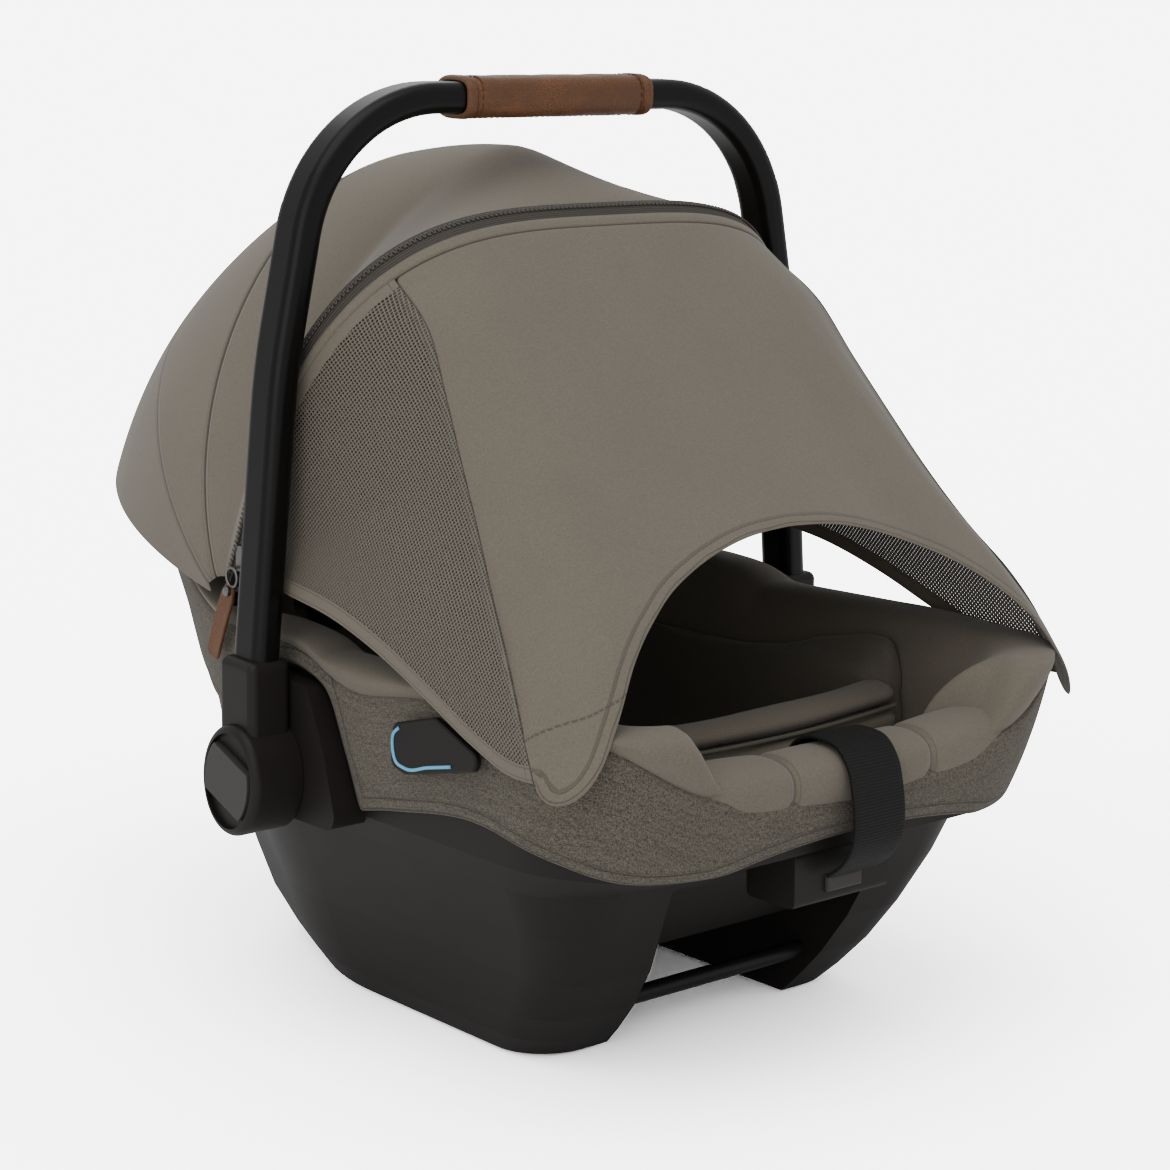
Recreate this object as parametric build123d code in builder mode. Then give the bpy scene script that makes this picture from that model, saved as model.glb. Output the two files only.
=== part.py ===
"""Infant car seat: shell, soft cover, harness, carrying handle and folding canopy, one solid per piece."""

import os
from math import atan2, cos, pi, radians, sin, tan

from build123d import *

# Frame: +Z up, +Y toward the head end, floor at Z = 0. Left is +X, as the child sits. Millimetres.

# Shell outline at rising heights: height, half width, front end, head end, front corner, where the sides
# start to taper, half width of the head end.
outer_levels = (
    (2, 122, -166, 124, 34, 26, 78),
    (14, 128, -178, 150, 34, 30, 81),
    (32, 134, -194, 173, 34, 36, 83),
    (58, 141, -212, 191, 34, 40, 84),
    (90, 153, -228, 203, 36, 44, 85),
    (118, 164, -242, 211, 48, 48, 86),
    (134, 171, -288, 213, 84, 50, 87),
    (215, 179, -302, 238, 58, 70, 88),
    (335, 172, -300, 313.8, 58, 122, 98),
)
bucket_levels = (
    (62, 92, -180, 100, 30, 20, 50),
    (100, 124, -212, 152, 34, 30, 60),
    (124, 140, -226, 174, 40, 38, 66),
    (142, 150, -277, 190, 70, 46, 72),
    (215, 165, -284, 222, 50, 66, 80),
    (335, 158, -283, 297, 50, 118, 88),
)
hip_round = 160.0
head_round = 0.9
least_round = 8.0
shell_bottom = 2.0
bucket_floor = 62.0
shell_top = 335.0
wall = 3.5
seam = 0.3

# Height of the shell's rim along the seat, from the foot end to the head end.
rim_line = (
    (-330, 190),
    (-290, 207),
    (-240, 215),
    (-120, 217),
    (0, 217),
    (50, 221),
    (92, 236),
    (150, 268),
    (205, 290),
    (260, 303),
    (330, 311),
)
flange = 4.0

# Height of the cover's lower hem along the seat.
hem_line = (
    (-330, 138),
    (-284, 134),
    (-250, 144),
    (-190, 155),
    (-110, 145),
    (-40, 132),
    (20, 138),
    (62, 170),
    (110, 177),
    (170, 173),
    (200, 176),
    (222, 212),
    (240, 236),
    (330, 256),
)
cover = 5.0

# Underside: channel between the two skids.
channel_low = 68.0
channel_high = 84.0
channel_roof = 112.0
foot_length = 46.0
foot_width = 22.0
foot_places = (-128.0, 20.0)
foot_offset = 86.0
foot_corner = 8.0
bar_radius = 5.0
front_bar_y = -176.0
front_bar_z = 30.0
rear_bar_y = 74.0
rear_bar_z = 34.0

# Padding inside the bucket, measured inward from the bucket wall.
foam = 9.0
pad = 15.0
insert = 18.0
insert_front = -210.0
head_split = 214.0

# Upper edge of the body insert's side wings along the seat.
wing_line = (
    (-330, 140),
    (-210, 176),
    (-196, 208),
    (-180, 226),
    (-160, 224),
    (-110, 206),
    (-40, 198),
    (60, 198),
    (330, 204),
)

# Side view of the cushion across the front of the body insert.
lip_profile = ((-214, 120), (-214, 168), (-204, 180), (-190, 178), (-164, 140), (-146, 90))
lip_corner = 5.0

# Front of the cover: the low sill between the two front corners and the roll on it.
sill_half = 120.0
sill_height = 158.0
roll_depth = 40.0
roll_height = 32.0
roll_y = -282.0
roll_end = 3.0

# Handle.
pivot_y = -18.0
pivot_z = 152.0
handle_lean = 1.5
leg_foot = 34.0
leg_bend_x = 191.5
leg_bend = 231.0
shoulder_x = 161.0
handle_reach = 380.5
leg_bend_radius = 400.0
shoulder_radius = 92.0
tube_depth = 28.0
tube_width = 18.0
tube_corner = 7.0
grip_half = 78.0
grip_wall = 3.0
sleeve_top = 70.0
sleeve_wall = 3.0
base_face = 192.6
hub_gap = 0.4
hub_inside = base_face + hub_gap
hub_thick = 33.0
hub_outside = hub_inside + hub_thick
leg_foot_x = hub_inside + 15.4
hub_tall = 33.0
hub_wide = 28.0
hub_tilt = 14.0
axle_radius = 9.0
axle_fit = 0.08
pocket_deep = 14.0
pocket_floor = hub_outside - pocket_deep
axle_end = pocket_floor - 1
panel_band = 15.5
panel_rim = 4.5
button_deep = 6.5
button_back = hub_outside - button_deep
button_proud = 1.0
button_fit = 0.4
bolt_head = 12.0
bolt_head_thick = 3.0
bolt_shank = 4.0

# Hub base bracket, fixed to the shell behind each hub.
base_back = 150.0
base_outline = ((14, 128), (14, 196), (-4, 212), (-50, 208), (-66, 172), (-78, 128))
base_corner = 9.0
base_window = 2.0
side_button_height = 30.0
side_button_depth = 8.0
side_button_travel = 3.0
side_button_proud = 5.0
side_button_in = 184.6
side_button_out = 191.0

# Canopy: three nested arches that turn about one axis.
canopy_y = 43.0
canopy_z = 242.0
arch_foot = 24.0
fabric = 2.5
front_arch = (184.0, 110.0, 160.0, 224.0, 96.0, 255.0)
middle_arch = (179.0, 86.0, 142.0, 205.0, 74.0, 250.4)
rear_arch = (174.0, 76.0, 130.0, 200.0, 62.0, 245.8)
arch_radii = (90.0, 60.0, 120.0)
front_edge = 30.0
front_seam = -13.0
middle_seam = -46.0
seam_lap = 2.0
rear_edge = -84.0
bow_thick = 3.6
bow_gap = 0.8
bow_wide = 8.0
bow_eye = 11.0
post_inside = 165.0
post_outside = 172.0
post_half = 10.0
pin_radius = 4.0
pin_fit = 0.08
pin_end = 182.0
zip_proud = 1.4
slider_reach = 42.0
slider_tall = 14.0
slider_thick = 2.6
hinge_radius = 1.2

# Drape: sheet from the canopy's front edge to an arch over the foot end.
drape_front = -264.0
drape_arch = (190.0, 46.0, 152.0, 92.0, 84.0, 114.0)
drape_low = 184.0
drape_sheet = 1.6
drape_hem = ((-330, 160), (-264, 184), (-184, 213), (-93, 240), (0, 256), (60, 262))
drape_seam_top = (-84.0, 452.0)
drape_seam_foot = (-272.0, 214.0)

# Belt guides on the sides of the cover.
guide_outline = ((-131, 179), (-144, 176), (-206, 190), (-209, 199), (-172, 213), (-134, 203))
guide_corner = 5.0
guide_face = 193.6
guide_thick = 3.6
guide_edge = 1.4
rib_front = -196.0
rib_back = -142.0
rib_low = 196.0
rib_high = 203.0

# Harness.
webbing = 38.0
strap = 2.0
strap_x = 28.0
shoulder_pad_width = 40.0
buckle_width = 54.0
buckle_length = 58.0
buckle_thick = 18.0
buckle_y = -78.0
buckle_z = 126.0
button_size = 22.0
strap_low = 134.0
strap_gap = 15.0

# Harness adjuster under the front lip of the shell.
adjuster_half = 36.0
adjuster_front = -284.0
adjuster_back = -246.0
adjuster_low = 102.0
adjuster_high = 134.0
adjuster_button_half = 13.0
adjuster_button_tall = 9.2
adjuster_button_deep = 4.0
button_travel = 3.0

# Release trigger at the back of the shell.
trigger_z = 196.0
trigger_width = 74.0
trigger_height = 24.0
trigger_travel = 8.0


def level_at(levels, height):
    """Outline values at a height, between the two levels around it."""
    below = levels[0]
    for above in levels[1:]:
        if height <= above[0]:
            break
        below = above
    share = (height - below[0]) / (above[0] - below[0])
    return [low + share * (high - low) for low, high in zip(below[1:], above[1:])]


def tub(levels, inset, bottom):
    """Solid tub drawn inward from the outline by the inset, from the bottom to the shell's top."""
    heights = [bottom]
    heights += [level[0] for level in levels if bottom + 6 < level[0] < shell_top]
    heights += [shell_top]
    with BuildPart() as body:
        for height in heights:
            half, front, head, corner, hip, neck = level_at(levels, height)
            taper = atan2(half - neck, head - hip)
            hip -= inset * tan(taper / 2)
            neck -= inset * tan((pi / 2 - taper) / 2)
            half -= inset
            front += inset
            head -= inset
            corners = ((half, front), (half, hip), (neck, head), (-neck, head), (-half, hip), (-half, front))
            near = max(corner - inset, least_round)
            far = max(head_round * neck, least_round)
            bends = (near, hip_round, far, far, hip_round, near)
            with BuildSketch(Plane.XY.offset(height)):
                with BuildLine():
                    FilletPolyline(*corners, radius=bends, close=True)
                make_face()
        loft(ruled=True)
    return body.part


def below_line(line, lift):
    """Everything below a height line along the seat, raised by the lift."""
    points = [(y, z + lift) for y, z in line]
    with BuildPart() as body:
        with BuildSketch(Plane.YZ):
            with BuildLine():
                Spline(*points)
                Polyline(points[-1], (points[-1][0], -20), (points[0][0], -20), points[0])
            make_face()
        extrude(amount=320, both=True)
    return body.part


def block(x0, x1, y0, y1, z0, z1):
    """Box between two corners."""
    with BuildPart() as body:
        with Locations(((x0 + x1) / 2, (y0 + y1) / 2, (z0 + z1) / 2)):
            Box(abs(x1 - x0), abs(y1 - y0), abs(z1 - z0))
    return body.part


def channel(grow):
    """Channel under the seat between the skids, widening upward."""
    with BuildPart() as body:
        with BuildSketch(Plane.XZ):
            with BuildLine():
                Polyline(
                    (-channel_low - grow, -5),
                    (channel_low + grow, -5),
                    (channel_high + grow, channel_roof + grow),
                    (-channel_high - grow, channel_roof + grow),
                    close=True,
                )
            make_face()
        extrude(amount=400, both=True)
    return body.part


def sill(half, height):
    """Space above the low front sill between the front corners."""
    return block(-half, half, -330, -226, height, shell_top + 5)


def save(body, label):
    """Names a piece and writes it."""
    body.label = label
    export_step(body, f"parts/{label}.step")


os.makedirs("parts", exist_ok=True)

# Forms that several pieces share.
outer_form = tub(outer_levels, 0, shell_bottom)
cover_form = tub(outer_levels, -cover, shell_bottom)
bucket_form = tub(bucket_levels, 0, bucket_floor)
bucket_outside = tub(bucket_levels, -wall - seam, bucket_floor - wall - seam)
foam_inside = tub(bucket_levels, foam, bucket_floor + foam)
pad_depth = foam + pad
pad_inside = tub(bucket_levels, pad_depth, bucket_floor + pad_depth)
insert_depth = pad_depth + insert
insert_inside = tub(bucket_levels, insert_depth, bucket_floor + insert_depth)
under_rim = below_line(rim_line, 0)

# Latch bars that a vehicle base grips, held in the inner walls of the skids.
bar_half = channel_low + 10
with BuildPart() as front_latch_bar:
    with BuildSketch(Plane.YZ.offset(-bar_half)):
        with Locations((front_bar_y, front_bar_z)):
            Circle(bar_radius)
    extrude(amount=2 * bar_half)
with BuildPart() as rear_latch_bar:
    with BuildSketch(Plane.YZ.offset(-bar_half)):
        with Locations((rear_bar_y, rear_bar_z)):
            Circle(bar_radius)
    extrude(amount=2 * bar_half)
with BuildPart() as bar_holes:
    with BuildSketch(Plane.YZ.offset(-bar_half - 1)):
        with Locations((front_bar_y, front_bar_z), (rear_bar_y, rear_bar_z)):
            Circle(bar_radius + 0.1)
    extrude(amount=2 * bar_half + 2)
save(front_latch_bar.part, "front_latch_bar")
save(rear_latch_bar.part, "rear_latch_bar")

# Outer shell: one skin round the seat, with the two hollow skids either side of the channel.
with BuildPart() as skid_hollow:
    add(tub(outer_levels, wall, shell_bottom + wall))
    add(channel(wall), mode=Mode.SUBTRACT)
with BuildPart() as outer_shell:
    add(outer_form)
    add(below_line(rim_line, -flange - 0.1), mode=Mode.INTERSECT)
    add(skid_hollow.part, mode=Mode.SUBTRACT)
    add(channel(0), mode=Mode.SUBTRACT)
    add(bucket_outside, mode=Mode.SUBTRACT)
    add(sill(sill_half, sill_height - flange - 0.1), mode=Mode.SUBTRACT)
    add(bar_holes.part, mode=Mode.SUBTRACT)
save(outer_shell.part, "outer_shell")

# Bucket: inner tub with the flange that closes the top of the outer shell.
with BuildPart() as flange_ring:
    add(outer_form)
    add(under_rim, mode=Mode.INTERSECT)
    add(below_line(rim_line, -flange), mode=Mode.SUBTRACT)
with BuildPart() as seat_bucket:
    add(tub(bucket_levels, -wall, bucket_floor - wall))
    add(under_rim, mode=Mode.INTERSECT)
    add(flange_ring.part)
    add(bucket_form, mode=Mode.SUBTRACT)
    add(sill(sill_half, sill_height), mode=Mode.SUBTRACT)
save(seat_bucket.part, "seat_bucket")

# Rubber feet under the flat of the skids.
with BuildPart() as skid_feet:
    with BuildSketch(Plane.XY):
        for foot_y in foot_places:
            with Locations((-foot_offset, foot_y), (foot_offset, foot_y)):
                RectangleRounded(foot_width, foot_length, foot_corner)
    extrude(amount=shell_bottom)
save(skid_feet.part, "skid_feet")

# Foam, pad and inserts, one inside the other.
with BuildPart() as foam_liner:
    add(tub(bucket_levels, seam, bucket_floor + seam))
    add(foam_inside, mode=Mode.SUBTRACT)
    add(below_line(rim_line, -1), mode=Mode.INTERSECT)
    add(sill(sill_half, sill_height), mode=Mode.SUBTRACT)
save(foam_liner.part, "foam_liner")
with BuildPart() as seat_pad:
    add(tub(bucket_levels, foam + seam, bucket_floor + foam + seam))
    add(pad_inside, mode=Mode.SUBTRACT)
    add(below_line(rim_line, -4), mode=Mode.INTERSECT)
    add(sill(sill_half, sill_height - 2), mode=Mode.SUBTRACT)
save(seat_pad.part, "seat_pad")
insert_outside = tub(bucket_levels, pad_depth + seam, bucket_floor + pad_depth + seam)
with BuildPart() as lip:
    with BuildSketch(Plane.YZ):
        with BuildLine():
            FilletPolyline(*lip_profile, radius=lip_corner, close=True)
        make_face()
    extrude(amount=sill_half, both=True)
    add(insert_outside, mode=Mode.INTERSECT)
with BuildPart() as body_insert:
    add(insert_outside)
    add(insert_inside, mode=Mode.SUBTRACT)
    add(lip.part)
    add(below_line(wing_line, 0), mode=Mode.INTERSECT)
    add(block(-200, 200, insert_front, 320, 0, head_split), mode=Mode.INTERSECT)
save(body_insert.part, "body_insert")
with BuildPart() as head_insert:
    add(insert_outside)
    add(insert_inside, mode=Mode.SUBTRACT)
    add(below_line(rim_line, -14), mode=Mode.INTERSECT)
    add(block(-200, 200, 90, 320, head_split + 1, 320), mode=Mode.INTERSECT)
save(head_insert.part, "head_insert")


def mirrored(body):
    """The same piece on the other side of the seat."""
    with BuildPart() as twin:
        mirror(body, about=Plane.YZ)
    return twin.part


def base_shape(grow, inside, outside):
    """Side outline of the hub base, between two distances from the middle."""
    with BuildPart() as body:
        with BuildSketch(Plane.YZ.offset(inside)):
            with BuildLine():
                FilletPolyline(*base_outline, radius=base_corner, close=True)
            make_face()
            if grow:
                offset(amount=grow)
        extrude(amount=outside - inside)
    return body.part


def pair(body):
    """A form together with its mirror image."""
    with BuildPart() as both_sides:
        add(body)
        mirror(body, about=Plane.YZ)
    return both_sides.part


# Hub base: bracket on each side of the shell with the axle that the handle turns on.
side_button_z = pivot_z + 14
side_button_y = base_outline[0][0]
with BuildPart() as left_hub_base:
    add(base_shape(0, base_back, base_face))
    add(tub(outer_levels, -0.1, shell_bottom), mode=Mode.SUBTRACT)
    with BuildSketch(Plane.YZ.offset(base_face - 2)):
        with Locations((pivot_y, pivot_z)):
            Circle(axle_radius)
    extrude(amount=axle_end - base_face + 2)
    with BuildSketch(Plane.YZ.offset(axle_end)):
        with Locations((pivot_y, pivot_z)):
            Circle(bolt_shank + 0.05)
    extrude(amount=-(axle_end - base_face + 4), mode=Mode.SUBTRACT)
    add(
        block(
            side_button_in - button_fit,
            side_button_out + button_fit,
            side_button_y - side_button_depth - side_button_travel - button_fit,
            side_button_y + 1,
            side_button_z - side_button_height / 2 - button_fit,
            side_button_z + side_button_height / 2 + button_fit,
        ),
        mode=Mode.SUBTRACT,
    )
save(left_hub_base.part, "left_hub_base")
save(mirrored(left_hub_base.part), "right_hub_base")
with BuildPart() as left_stroller_button:
    add(
        block(
            side_button_in,
            side_button_out,
            side_button_y - side_button_depth,
            side_button_y + side_button_proud,
            side_button_z - side_button_height / 2,
            side_button_z + side_button_height / 2,
        )
    )
    fillet(left_stroller_button.edges().group_by(Axis.Y)[-1], radius=3)
save(left_stroller_button.part, "left_stroller_button")
save(mirrored(left_stroller_button.part), "right_stroller_button")

# Canopy pivot posts stand on the flange and pass through the cover.
turn_axis = Axis((0, canopy_y, canopy_z), (1, 0, 0))
with BuildPart() as left_canopy_post:
    with BuildSketch(Plane.YZ.offset(post_inside)):
        with Locations((canopy_y, canopy_z)):
            Circle(post_half)
        with Locations((canopy_y, canopy_z - 15)):
            Rectangle(2 * post_half, 30)
    extrude(amount=post_outside - post_inside)
    add(below_line(rim_line, 0.1), mode=Mode.SUBTRACT)
    with BuildSketch(Plane.YZ.offset(post_inside)):
        with Locations((canopy_y, canopy_z)):
            Circle(pin_radius)
    extrude(amount=pin_end - post_inside)
save(left_canopy_post.part, "left_canopy_post")
save(mirrored(left_canopy_post.part), "right_canopy_post")
post_slot = block(
    post_inside - 1,
    post_outside + 1,
    canopy_y - post_half - 1,
    canopy_y + post_half + 1,
    canopy_z - 40,
    canopy_z + 20,
)

# Seat cover: woven skirt that hangs over the rim, cut away at the hub bases and the front sill.
with BuildPart() as cover_inside:
    add(tub(outer_levels, -seam, shell_bottom))
    add(below_line(rim_line, seam), mode=Mode.INTERSECT)
with BuildPart() as seat_cover:
    add(cover_form)
    add(below_line(rim_line, cover), mode=Mode.INTERSECT)
    add(cover_inside.part, mode=Mode.SUBTRACT)
    add(bucket_form, mode=Mode.SUBTRACT)
    add(below_line(hem_line, 0), mode=Mode.SUBTRACT)
    add(pair(base_shape(base_window, base_back, hub_inside)), mode=Mode.SUBTRACT)
    add(pair(post_slot), mode=Mode.SUBTRACT)
    add(sill(sill_half, sill_height), mode=Mode.SUBTRACT)
save(seat_cover.part, "seat_cover")

# Front roll on the low sill, and the strap that runs over it.
with BuildPart() as front_roll:
    with BuildSketch(Plane.YZ.offset(roll_end - sill_half)):
        with Locations((roll_y, sill_height + seam + roll_height / 2)):
            RectangleRounded(roll_depth, roll_height, roll_height / 2 - 1)
    extrude(amount=2 * (sill_half - roll_end))
save(front_roll.part, "front_roll")


def ribbon(points, bend, thick, x0, x1):
    """Webbing along a side-view path, between two distances from the middle."""
    with BuildPart() as body:
        with BuildSketch(Plane.YZ.offset(x0)):
            with BuildLine():
                FilletPolyline(*points, radius=bend)
            trace(line_width=thick)
        extrude(amount=x1 - x0)
    return body.part


roll_top = sill_height + seam + roll_height
strap_over = (
    (roll_y + 24, roll_top - 12),
    (roll_y + 19, roll_top + 1.4),
    (roll_y - 21, roll_top + 1.4),
    (roll_y - 21.6, strap_low),
    (roll_y - 5, strap_low - 17),
)
adjuster_strap = ribbon(strap_over, 8, strap, -webbing / 2, webbing / 2)
save(adjuster_strap, "adjuster_strap")
adjuster_z = (adjuster_low + adjuster_high) / 2 - 5
with BuildPart() as adjuster_housing:
    add(block(-adjuster_half, adjuster_half, adjuster_front, adjuster_back, adjuster_low, adjuster_high))
    fillet(adjuster_housing.edges().filter_by(Axis.X), radius=4)
    add(tub(outer_levels, -0.1, shell_bottom), mode=Mode.SUBTRACT)
    slot_half = adjuster_button_half + button_fit
    slot_low = adjuster_z - adjuster_button_tall / 2 - button_fit
    slot_high = adjuster_z + adjuster_button_tall / 2 + button_fit
    slot_end = adjuster_front + adjuster_button_deep + button_travel + button_fit
    add(block(-slot_half, slot_half, adjuster_front - 1, slot_end, slot_low, slot_high), mode=Mode.SUBTRACT)
save(adjuster_housing.part, "adjuster_housing")
with BuildPart() as adjuster_button:
    add(
        block(
            -adjuster_button_half,
            adjuster_button_half,
            adjuster_front - button_travel,
            adjuster_front + adjuster_button_deep,
            adjuster_z - adjuster_button_tall / 2,
            adjuster_z + adjuster_button_tall / 2,
        )
    )
    fillet(adjuster_button.edges().group_by(Axis.Y)[0], radius=2)
save(adjuster_button.part, "adjuster_button")

# Belt guides: plates on a rib that stands off the cover, so the vehicle belt's edge goes behind them.
with BuildPart() as left_belt_guide:
    with BuildSketch(Plane.YZ.offset(guide_face - guide_thick)):
        with BuildLine():
            FilletPolyline(*guide_outline, radius=guide_corner, close=True)
        make_face()
    extrude(amount=guide_thick)
    fillet(left_belt_guide.edges().group_by(Axis.X)[-1], radius=guide_edge)
    add(block(base_back, guide_face - guide_thick, rib_front, rib_back, rib_low, rib_high))
    add(tub(outer_levels, -cover - 0.2, shell_bottom), mode=Mode.SUBTRACT)
save(left_belt_guide.part, "left_belt_guide")
save(mirrored(left_belt_guide.part), "right_belt_guide")

# Harness.


def back_at(height):
    """Front of the body insert's back at a height, less the straps' gap."""
    return level_at(bucket_levels, height)[2] - insert_depth - strap_gap


lap_z = 112.0
chest_z = 142.0
neck_z = 204.0
lap_y = back_at(lap_z) - 11
tongue_end = (-38, 123.2)
lap_points = ((30, lap_z), (lap_y, lap_z))
back_points = ((back_at(chest_z), chest_z), (back_at(neck_z), neck_z))
shoulder_path = (tongue_end, *lap_points, *back_points)
pad_foot = (lap_y - 3.4, lap_z + 5)
pad_bend = (back_at(chest_z) - 4.2, chest_z + 5.2)
pad_top = (back_at(neck_z - 16) - 5.6, neck_z - 14)
pad_path = (pad_foot, pad_bend, pad_top)
left_shoulder_strap = ribbon(shoulder_path, 12, strap, strap_x - webbing / 2, strap_x + webbing / 2)
save(left_shoulder_strap, "left_shoulder_strap")
save(mirrored(left_shoulder_strap), "right_shoulder_strap")
half_pad = shoulder_pad_width / 2
left_shoulder_pad = ribbon(pad_path, 12, 8, strap_x - half_pad, strap_x + half_pad)
save(left_shoulder_pad, "left_shoulder_pad")
save(mirrored(left_shoulder_pad), "right_shoulder_pad")
buckle_back = buckle_y + buckle_length / 2
buckle_top = buckle_z + buckle_thick / 2
with BuildPart() as buckle:
    with Locations((0, buckle_y, buckle_z)):
        Box(buckle_width, buckle_length, buckle_thick)
    fillet(buckle.edges().filter_by(Axis.Z), radius=12)
    fillet(buckle.edges().group_by(Axis.Z)[-1], radius=4)
    with BuildSketch(Plane.XY.offset(buckle_top)):
        with Locations((0, buckle_y)):
            RectangleRounded(button_size + 2 * button_fit, button_size + 2 * button_fit, 5)
    extrude(amount=-9, mode=Mode.SUBTRACT)
save(buckle.part, "buckle")
with BuildPart() as buckle_button:
    with BuildSketch(Plane.XY.offset(buckle_top - 5)):
        with Locations((0, buckle_y)):
            RectangleRounded(button_size, button_size, 4.6)
    extrude(amount=6)
    fillet(buckle_button.edges().group_by(Axis.Z)[-1], radius=1.5)
save(buckle_button.part, "buckle_button")
with BuildPart() as buckle_tongues:
    with BuildSketch(Plane.XY.offset(buckle_z - 1.5)):
        with Locations((-16, buckle_back + 9.6), (16, buckle_back + 9.6)):
            RectangleRounded(26, 18, 4)
    extrude(amount=3)
save(buckle_tongues.part, "buckle_tongues")
insert_top = bucket_floor + insert_depth
crotch_path = (
    (buckle_y - 60, insert_top + 1.4),
    (buckle_y - 42, insert_top + 4),
    (buckle_y - buckle_length / 2 - 1.2, buckle_z - 2),
)
crotch_strap = ribbon(crotch_path, 10, strap, -webbing / 2, webbing / 2)
save(crotch_strap, "crotch_strap")

# Release trigger and its housing on the back of the shell, below the cover.
shell_back = level_at(outer_levels, trigger_z)[2]
with BuildPart() as release_housing:
    add(block(-trigger_width / 2 - 7, trigger_width / 2 + 7, shell_back - 40, shell_back + 30, 172, 228))
    fillet(release_housing.edges().group_by(Axis.Y)[-1], radius=6)
    add(tub(outer_levels, -0.1, shell_bottom), mode=Mode.SUBTRACT)
    add(
        block(
            -trigger_width / 2 - button_fit,
            trigger_width / 2 + button_fit,
            shell_back + 17,
            shell_back + 32,
            trigger_z - trigger_height / 2 - button_fit,
            trigger_z + trigger_height / 2 + trigger_travel + button_fit,
        ),
        mode=Mode.SUBTRACT,
    )
save(release_housing.part, "release_housing")
with BuildPart() as release_trigger:
    add(
        block(
            -trigger_width / 2,
            trigger_width / 2,
            shell_back + 17.4,
            shell_back + 29,
            trigger_z - trigger_height / 2,
            trigger_z + trigger_height / 2,
        )
    )
    with BuildSketch(Plane.YZ.offset(-trigger_width / 2 + 8)):
        with Locations((shell_back + 31, trigger_z - 5)):
            Circle(8)
    extrude(amount=trigger_width - 16, mode=Mode.SUBTRACT)
save(release_trigger.part, "release_trigger")

# Handle. Its own plane leans toward the foot end; the reach is measured from the pivot.
lean = radians(handle_lean)
handle_up = (0, -sin(lean), cos(lean))
handle_back = (0, cos(lean), sin(lean))
handle_front = (0, -cos(lean), -sin(lean))
handle_plane = Plane(origin=(0, pivot_y, pivot_z), x_dir=(1, 0, 0), z_dir=handle_front)
grip_centre = (0, pivot_y - handle_reach * sin(lean), pivot_z + handle_reach * cos(lean))


def tube(grow, low):
    """Handle tube, or with a clearance the space it takes."""
    leg_x = leg_foot_x + (leg_foot - low) * (leg_foot_x - leg_bend_x) / (leg_bend - leg_foot)
    points = (
        (leg_x, low),
        (leg_bend_x, leg_bend),
        (shoulder_x, handle_reach),
        (-shoulder_x, handle_reach),
        (-leg_bend_x, leg_bend),
        (-leg_x, low),
    )
    bends = (leg_bend_radius, shoulder_radius, shoulder_radius, leg_bend_radius)
    with BuildPart() as body:
        with BuildLine(handle_plane) as path:
            FilletPolyline(*points, radius=bends)
        with BuildSketch(Plane(origin=path.line @ 0, x_dir=handle_back, z_dir=path.line % 0)):
            RectangleRounded(tube_depth + 2 * grow, tube_width + 2 * grow, tube_corner + grow)
        sweep()
    return body.part


handle_tube = tube(0, leg_foot)
save(handle_tube, "handle_tube")
with BuildPart() as handle_grip:
    with BuildSketch(Plane(origin=grip_centre, x_dir=handle_back, z_dir=(1, 0, 0))):
        RectangleRounded(tube_depth + 2 * grip_wall, tube_width + 2 * grip_wall, tube_corner + 3)
        RectangleRounded(tube_depth + 0.1, tube_width + 0.1, tube_corner, mode=Mode.SUBTRACT)
    extrude(amount=grip_half, both=True)
save(handle_grip.part, "handle_grip")


def hub_plane(x):
    """Plane across the hub at a distance from the middle, turned with the handle."""
    return Plane(origin=(x, pivot_y, pivot_z), x_dir=handle_back, z_dir=(1, 0, 0))


sleeve_outside = leg_foot_x + tube_width / 2 + sleeve_wall
with BuildPart() as left_hub:
    with BuildSketch(hub_plane(hub_inside)):
        Ellipse(hub_wide, hub_tall, rotation=hub_tilt)
    extrude(amount=hub_outside - hub_inside)
    fillet(left_hub.edges().group_by(Axis.X)[-1], radius=5)
    with BuildSketch(hub_plane(hub_inside)):
        with Locations((0, sleeve_top / 2)):
            Rectangle(tube_depth + 2 * sleeve_wall, sleeve_top)
    extrude(amount=sleeve_outside - hub_inside)
    fillet(left_hub.edges().filter_by(GeomType.LINE).filter_by(lambda edge: edge.length > 20), radius=5)
    with BuildSketch(hub_plane(hub_outside)):
        Ellipse(hub_wide - panel_rim, hub_tall - panel_rim, rotation=hub_tilt)
    extrude(amount=-3, mode=Mode.SUBTRACT)
    with BuildSketch(hub_plane(hub_outside)):
        Ellipse(hub_wide - panel_rim - 1.5, hub_tall - panel_rim - 1.5, rotation=hub_tilt)
        Rectangle(90, 2 * panel_band, rotation=20, mode=Mode.INTERSECT)
    extrude(amount=pocket_floor - hub_outside, mode=Mode.SUBTRACT)
    with BuildSketch(hub_plane(hub_inside)):
        Circle(axle_radius + axle_fit)
    extrude(amount=hub_outside - hub_inside, mode=Mode.SUBTRACT)
    add(tube(0.1, leg_foot - 0.2), mode=Mode.SUBTRACT)
save(left_hub.part, "left_hub")
save(mirrored(left_hub.part), "right_hub")
button_inset = panel_rim + 1.5 + button_fit
with BuildPart() as left_hub_button:
    with BuildSketch(hub_plane(button_back)):
        Ellipse(hub_wide - button_inset, hub_tall - button_inset, rotation=hub_tilt)
        Rectangle(90, 2 * panel_band - 2 * button_fit, rotation=20, mode=Mode.INTERSECT)
    extrude(amount=hub_outside + button_proud - button_back)
save(left_hub_button.part, "left_hub_button")
save(mirrored(left_hub_button.part), "right_hub_button")
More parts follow.
